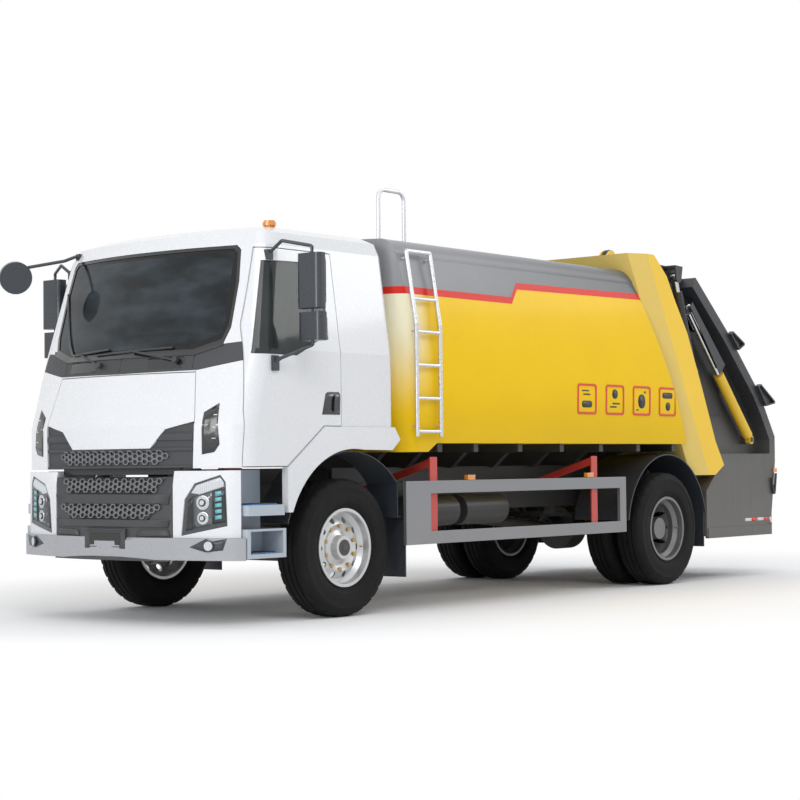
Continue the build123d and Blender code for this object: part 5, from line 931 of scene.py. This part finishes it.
def step_mats(side, tag):
    """Blue mats with cross ribs on both steps."""
    first, pitch, wide, tall = RIB
    for index, (front_y, back_y, low, high, top) in enumerate(STEPS):
        left, right = sorted((side * low, side * high))
        mat = top + MAT
        corners = (left, fa(front_y), top), (right, fa(back_y), mat)
        box(f"step_tread_{tag}_{index}", *corners, "chassis", BLUE_PART)
        for rib in range(5):
            along = fa(front_y + first + rib * pitch)
            corners = (left, along, mat), (right, along + wide, mat + tall)
            box(f"step_rib_{tag}_{index}_{rib}", *corners, "chassis", TRIM, 0.001)


for side, tag, _, _ in SIDES:
    step_mats(side, tag)


# ---- signs and side markers
SIGN_HALF = (0.15, 0.135)
SIGN_FRAME = 0.018
SIGN_FIRST = (3.11, 1.715)   # y from the front axle, z
SIGN_PITCH = 0.45
SIGN_SHAPES = (              # dark blocks of each sign, as low and high corners from its middle
    (((-0.08, -0.075), (0.08, -0.015)), ((-0.06, 0.035), (0.05, 0.048)), ((-0.08, 0.068), (0.03, 0.080))),
    (((-0.045, 0.01), (0.045, 0.095)), ((-0.08, -0.07), (0.03, -0.056)), ((-0.04, -0.04), (0.08, -0.026))),
    (((-0.06, -0.07), (0.06, 0.06)), ((-0.09, -0.09), (-0.05, -0.078)), ((0.04, 0.07), (0.07, 0.09))),
    (((-0.09, 0.030), (0.09, 0.085)), ((-0.03, -0.085), (0.05, -0.005))),
)
MARKERS = (1.44, 3.18)       # from the front axle


def pictogram(tag, index, y, z, view):
    """Generic sign: simple round-ended blocks inside a red frame."""
    wide, tall = SIGN_HALF
    sign = f"sign_{tag}_{index}"
    outer = rounded((y - wide, z - tall), (y + wide, z + tall), 0.03)
    low = (y - wide + SIGN_FRAME, z - tall + SIGN_FRAME)
    inner = rounded(low, (y + wide - SIGN_FRAME, z + tall - SIGN_FRAME), 0.02)
    ring(sign, outer, inner, "body_shell", view, "chassis", RED_MARK)
    for part, ((a0, b0), (a1, b1)) in enumerate(SIGN_SHAPES[index]):
        corner = min(a1 - a0, b1 - b0) * 0.45
        outline = rounded((y + a0, z + b0), (y + a1, z + b1), corner, 3)
        patch(f"{sign}_{part}", outline, "body_shell", view, "chassis", BLACK_MARK, lift=0.002, cuts=0)


def side_markers(side, tag):
    """Amber lamps on the side guard's top rail."""
    for index, y in enumerate(MARKERS):
        low, high = (side * 1.185, fa(y - 0.05), 1.022), (side * 1.225, fa(y + 0.05), 1.062)
        box(f"marker_{tag}_{index}", low, high, "chassis", AMBER)
        low, high = (side * 1.18, fa(y - 0.06), 1.0195), (side * 1.222, fa(y + 0.06), 1.026)
        box(f"marker_foot_{tag}_{index}", low, high, "chassis", BLACK_PAINT)


for _, tag, view, _ in SIDES:
    for index in range(len(SIGN_SHAPES)):
        pictogram(tag, index, fa(SIGN_FIRST[0] + index * SIGN_PITCH), SIGN_FIRST[1], view)
for side, tag, _, _ in SIDES:
    side_markers(side, tag)


# ---- screen seal
SCREEN_EDGE = [(0.7, 1.987), (0.918, 2.052), (0.952, 2.16), (0.947, 2.5), (0.915, 2.738), (0.878, 2.772)]
SCREEN_FOOT = ((-0.945, 2.066), (-0.70, 1.995), (0.70, 1.995), (0.945, 2.066))
SEAL_WIDE = 0.022
SEAL_STEP = 0.05             # longest stretch of the seal between two points on the glass
COWL_LINES = (-0.70, 0.0, 0.70)


def screen_seal():
    """Rubber band just inside the screen's edge, mirrored across the truck."""
    outline = mirrored(SCREEN_EDGE)
    middle = sum(z for _, z in outline) / len(outline)
    inner = []
    for x, z in outline:
        rise = SEAL_WIDE if z < middle else -SEAL_WIDE
        inner.append((x - math.copysign(SEAL_WIDE, x), z + rise))
    counts = [max(1, round(math.dist(a, b) / SEAL_STEP)) for a, b in zip(outline, outline[1:] + outline[:1])]
    lines = []
    for line in (outline, inner):
        made = []
        for (a0, b0), (a1, b1), count in zip(line, line[1:] + line[:1], counts):
            made += [(a0 + (a1 - a0) * i / count, b0 + (b1 - b0) * i / count) for i in range(count)]
        lines.append(made)
    ring("screen_seal", *lines, "windscreen", "front", "cab", TRIM_GLOSS, 0.004)


def screen_foot(drop_by=0.032, out_by=0.004, cells=10):
    """Rubber fillet between the cowl and the foot of the screen."""
    verts = []
    for (x0, z0), (x1, z1) in zip(SCREEN_FOOT, SCREEN_FOOT[1:]):
        for i in range(cells):
            t = i / cells
            x, z = x0 + (x1 - x0) * t, z0 + (z1 - z0) * t
            for height in (z - drop_by, z):
                hits = [drop(node, x, height, "front").y for node in ("windscreen", "cowl", "cab_shell")]
                verts.append((x, min(hits) - out_by, height))
    faces = [(2 * i, 2 * i + 2, 2 * i + 3, 2 * i + 1) for i in range(len(verts) // 2 - 1)]
    piece("screen_foot", verts, faces, "cab", TRIM_GLOSS, thick=0.003)


screen_seal()
screen_foot()
for index, x in enumerate(COWL_LINES):
    line = [(x - 0.002, 1.865), (x + 0.002, 1.865), (x + 0.002, 1.965), (x - 0.002, 1.965)]
    patch(f"cowl_line_{index}", line, "cowl", "front", "cab", BLACK_MARK, lift=0.0015, cuts=1)


# ---- tailgate fittings
TAPE_ROW = (1.45, 2.20, 0.550, 0.580)        # start and end from the rear axle, foot, top
TAPE_PARTS = 6
HOSE_LOOP = ((0.27, 2.60), (0.33, 2.54), (0.43, 2.66), (0.42, 2.84), (0.38, 2.96))
U_HOSE = ((1.98, 0.98), (2.00, 0.84), (2.10, 0.80), (2.18, 0.86), (2.20, 1.00))
SLOT_LIP = ((0.60, 2.42), (0.98, 2.42), (1.24, 1.92), (1.24, 1.60), (1.00, 1.60), (0.60, 2.20))
LIP_X = (1.062, 1.068)
TAIL_MARKER = (2.03, 2.10, 1.035, 1.075)     # as the tape's row
MARKER_OUT = 0.016


def tail_hose(name, side, view, points, off, radius, look):
    """Hose that keeps a set way off the tailgate's side."""
    route = [drop("tailgate_shell", ra(y), z, view) + Vector((side * off, 0, 0)) for y, z in points]
    tube(name, route, radius, "tailgate", look)


def tape_row(tag, view):
    """Red and white reflective strips along the tailgate's foot."""
    start, end, low, high = TAPE_ROW
    long = (end - start) / TAPE_PARTS
    for index in range(TAPE_PARTS):
        near, far = ra(start + index * long), ra(start + (index + 1) * long)
        strip = [(near, low), (far, low), (far, high), (near, high)]
        look = RED_MARK if index % 2 else WHITE_MARK
        patch(f"tape_{tag}_{index}", strip, "tailgate_shell", view, "tailgate", look, cuts=0)


def tailgate_side(side, tag, view):
    """Rubber lip behind the carriage's slot, hoses, tape and amber marker."""
    lip = [(ra(y), z) for y, z in SLOT_LIP]
    side_prism(f"slot_lip_{tag}", lip, side * LIP_X[0], side * LIP_X[1], "tailgate", HOSE, 0.001)
    tail_hose(f"hose_loop_{tag}_0", side, view, HOSE_LOOP, 0.012, 0.010, PALE_HOSE)
    tape_row(tag, view)
    front_y, back_y, low, high = TAIL_MARKER
    skin = drop("tailgate_shell", ra(2.06), 1.06, view).x
    left, right = sorted((skin, skin + side * MARKER_OUT))
    box(f"tail_marker_{tag}", (left, ra(front_y), low), (right, ra(back_y), high), "tailgate", AMBER)
    tail_hose(f"tail_hose_{tag}", side, view, U_HOSE, 0.018, 0.013, HOSE)


for side, tag, view, _ in SIDES:
    tailgate_side(side, tag, view)


# ---- camera
EYE = Vector((10.57337, fa(0) - 10.82703, 1.1512))
YAW, PITCH, ROLL = -0.68876, 0.03422, -0.01032           # radians
LENS = 84.93                 # millimetres on a 36 mm sensor


def place_camera():
    """Camera at the photograph's view."""
    look = Vector((math.sin(YAW) * math.cos(PITCH), math.cos(YAW) * math.cos(PITCH), math.sin(PITCH)))
    flat_right = Vector((math.cos(YAW), -math.sin(YAW), 0))
    flat_up = flat_right.cross(look)
    right = flat_right * math.cos(ROLL) + flat_up * math.sin(ROLL)
    up = flat_up * math.cos(ROLL) - flat_right * math.sin(ROLL)
    data = bpy.data.cameras.new("camera")
    data.lens = LENS
    data.sensor_width = 36.0
    data.clip_end = 200.0
    camera = bpy.data.objects.new("camera", data)
    bpy.context.scene.collection.objects.link(camera)
    camera.matrix_world = Matrix((right, up, -look)).transposed().to_4x4()
    camera.location = EYE
    bpy.context.scene.camera = camera


place_camera()


# ---- lights, sky and floor
LIGHTS = (                   # name, place, target, size, watts
    ("key", (9, -9, 9), (0, -1, 1), (7, 5), 420),
    ("front", (1, -14, 4), (0, -3, 1.5), (6, 4), 430),
    ("rear", (8, 9, 8), (0, 2, 1), (7, 5), 340),
    ("top", (0, 0, 12), (0, 0, 0), (9, 12), 380),
)
SKY = (0.86, 0.88, 0.92, 1)
SKY_STRENGTH = 0.62
PURE_WHITE = (1, 1, 1, 1)
FLOOR = 60.0                 # half the floor's width
FLOOR_DROP = 0.001
FLOOR_FADE = (2.6, 5.6)      # from here to here the floor turns white, measured across the truck
FADE_SHAPE = (1.0, 0.62, 1.0)


def area_light(name, place, target, size, power):
    """Rectangular soft light that faces a target."""
    data = bpy.data.lights.new(name, "AREA")
    data.shape = "RECTANGLE"
    data.size, data.size_y = size
    data.energy = power
    made = bpy.data.objects.new(name, data)
    bpy.context.scene.collection.objects.link(made)
    made.location = place
    made.rotation_mode = "QUATERNION"
    made.rotation_quaternion = (Vector(target) - Vector(place)).to_track_quat("-Z", "Y")


def seen_white(tree):
    """One for camera, mirror and glass rays, and nought for the rest."""
    path = tree.nodes.new("ShaderNodeLightPath")
    total = path.outputs["Is Camera Ray"]
    for ray in ("Is Transmission Ray", "Is Glossy Ray"):
        most = tree.nodes.new("ShaderNodeMath")
        most.operation = "MAXIMUM"
        tree.links.new(total, most.inputs[0])
        tree.links.new(path.outputs[ray], most.inputs[1])
        total = most.outputs[0]
    return total


def studio_sky():
    """Soft pale light from all round that itself looks white."""
    world = bpy.data.worlds.new("studio")
    bpy.context.scene.world = world
    world.use_nodes = True
    tree = world.node_tree
    sky = tree.nodes["Background"]
    sky.inputs["Color"].default_value = SKY
    sky.inputs["Strength"].default_value = SKY_STRENGTH
    white = tree.nodes.new("ShaderNodeBackground")
    white.inputs["Color"].default_value = PURE_WHITE
    white.inputs["Strength"].default_value = 1.0
    blend = tree.nodes.new("ShaderNodeMixShader")
    tree.links.new(seen_white(tree), blend.inputs[0])
    tree.links.new(sky.outputs[0], blend.inputs[1])
    tree.links.new(white.outputs[0], blend.inputs[2])
    tree.links.new(blend.outputs[0], tree.nodes["World Output"].inputs["Surface"])


def ground_material():
    """Pale floor that keeps the truck's shadow and fades to white away from it."""
    g = Graph("ground")
    g.shader.inputs["Base Color"].default_value = (0.95, 0.95, 0.95, 1)
    g.shader.inputs["Roughness"].default_value = 0.75
    squeezed = g.node("ShaderNodeMapping", {"Vector": g.place, "Scale": FADE_SHAPE}).outputs[0]
    reach = g.node("ShaderNodeVectorMath", {0: squeezed}, operation="LENGTH").outputs["Value"]
    far = g.span(reach, *FLOOR_FADE, 0.0, 1.0, True)
    glow = g.node("ShaderNodeEmission", {"Color": PURE_WHITE, "Strength": 1.0})
    fade = g.math("MULTIPLY", far, g.node("ShaderNodeLightPath").outputs["Is Camera Ray"])
    both = g.node("ShaderNodeMixShader", {0: fade, 1: g.shader.outputs[0], 2: glow.outputs[0]})
    g.tree.links.new(both.outputs[0], g.tree.nodes["Material Output"].inputs["Surface"])
    return g.material


def lay_floor():
    """Flat square under the wheels."""
    mesh = bpy.data.meshes.new("floor")
    corners = [(-FLOOR, -FLOOR, 0), (FLOOR, -FLOOR, 0), (FLOOR, FLOOR, 0), (-FLOOR, FLOOR, 0)]
    mesh.from_pydata(corners, [], [(0, 1, 2, 3)])
    floor = bpy.data.objects.new("floor", mesh)
    floor.location.z = -FLOOR_DROP
    bpy.context.scene.collection.objects.link(floor)
    mesh.materials.append(ground_material())
    floor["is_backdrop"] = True


for light in LIGHTS:
    area_light(*light)
studio_sky()
lay_floor()

bpy.context.scene.view_settings.view_transform = "Standard"
low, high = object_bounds()
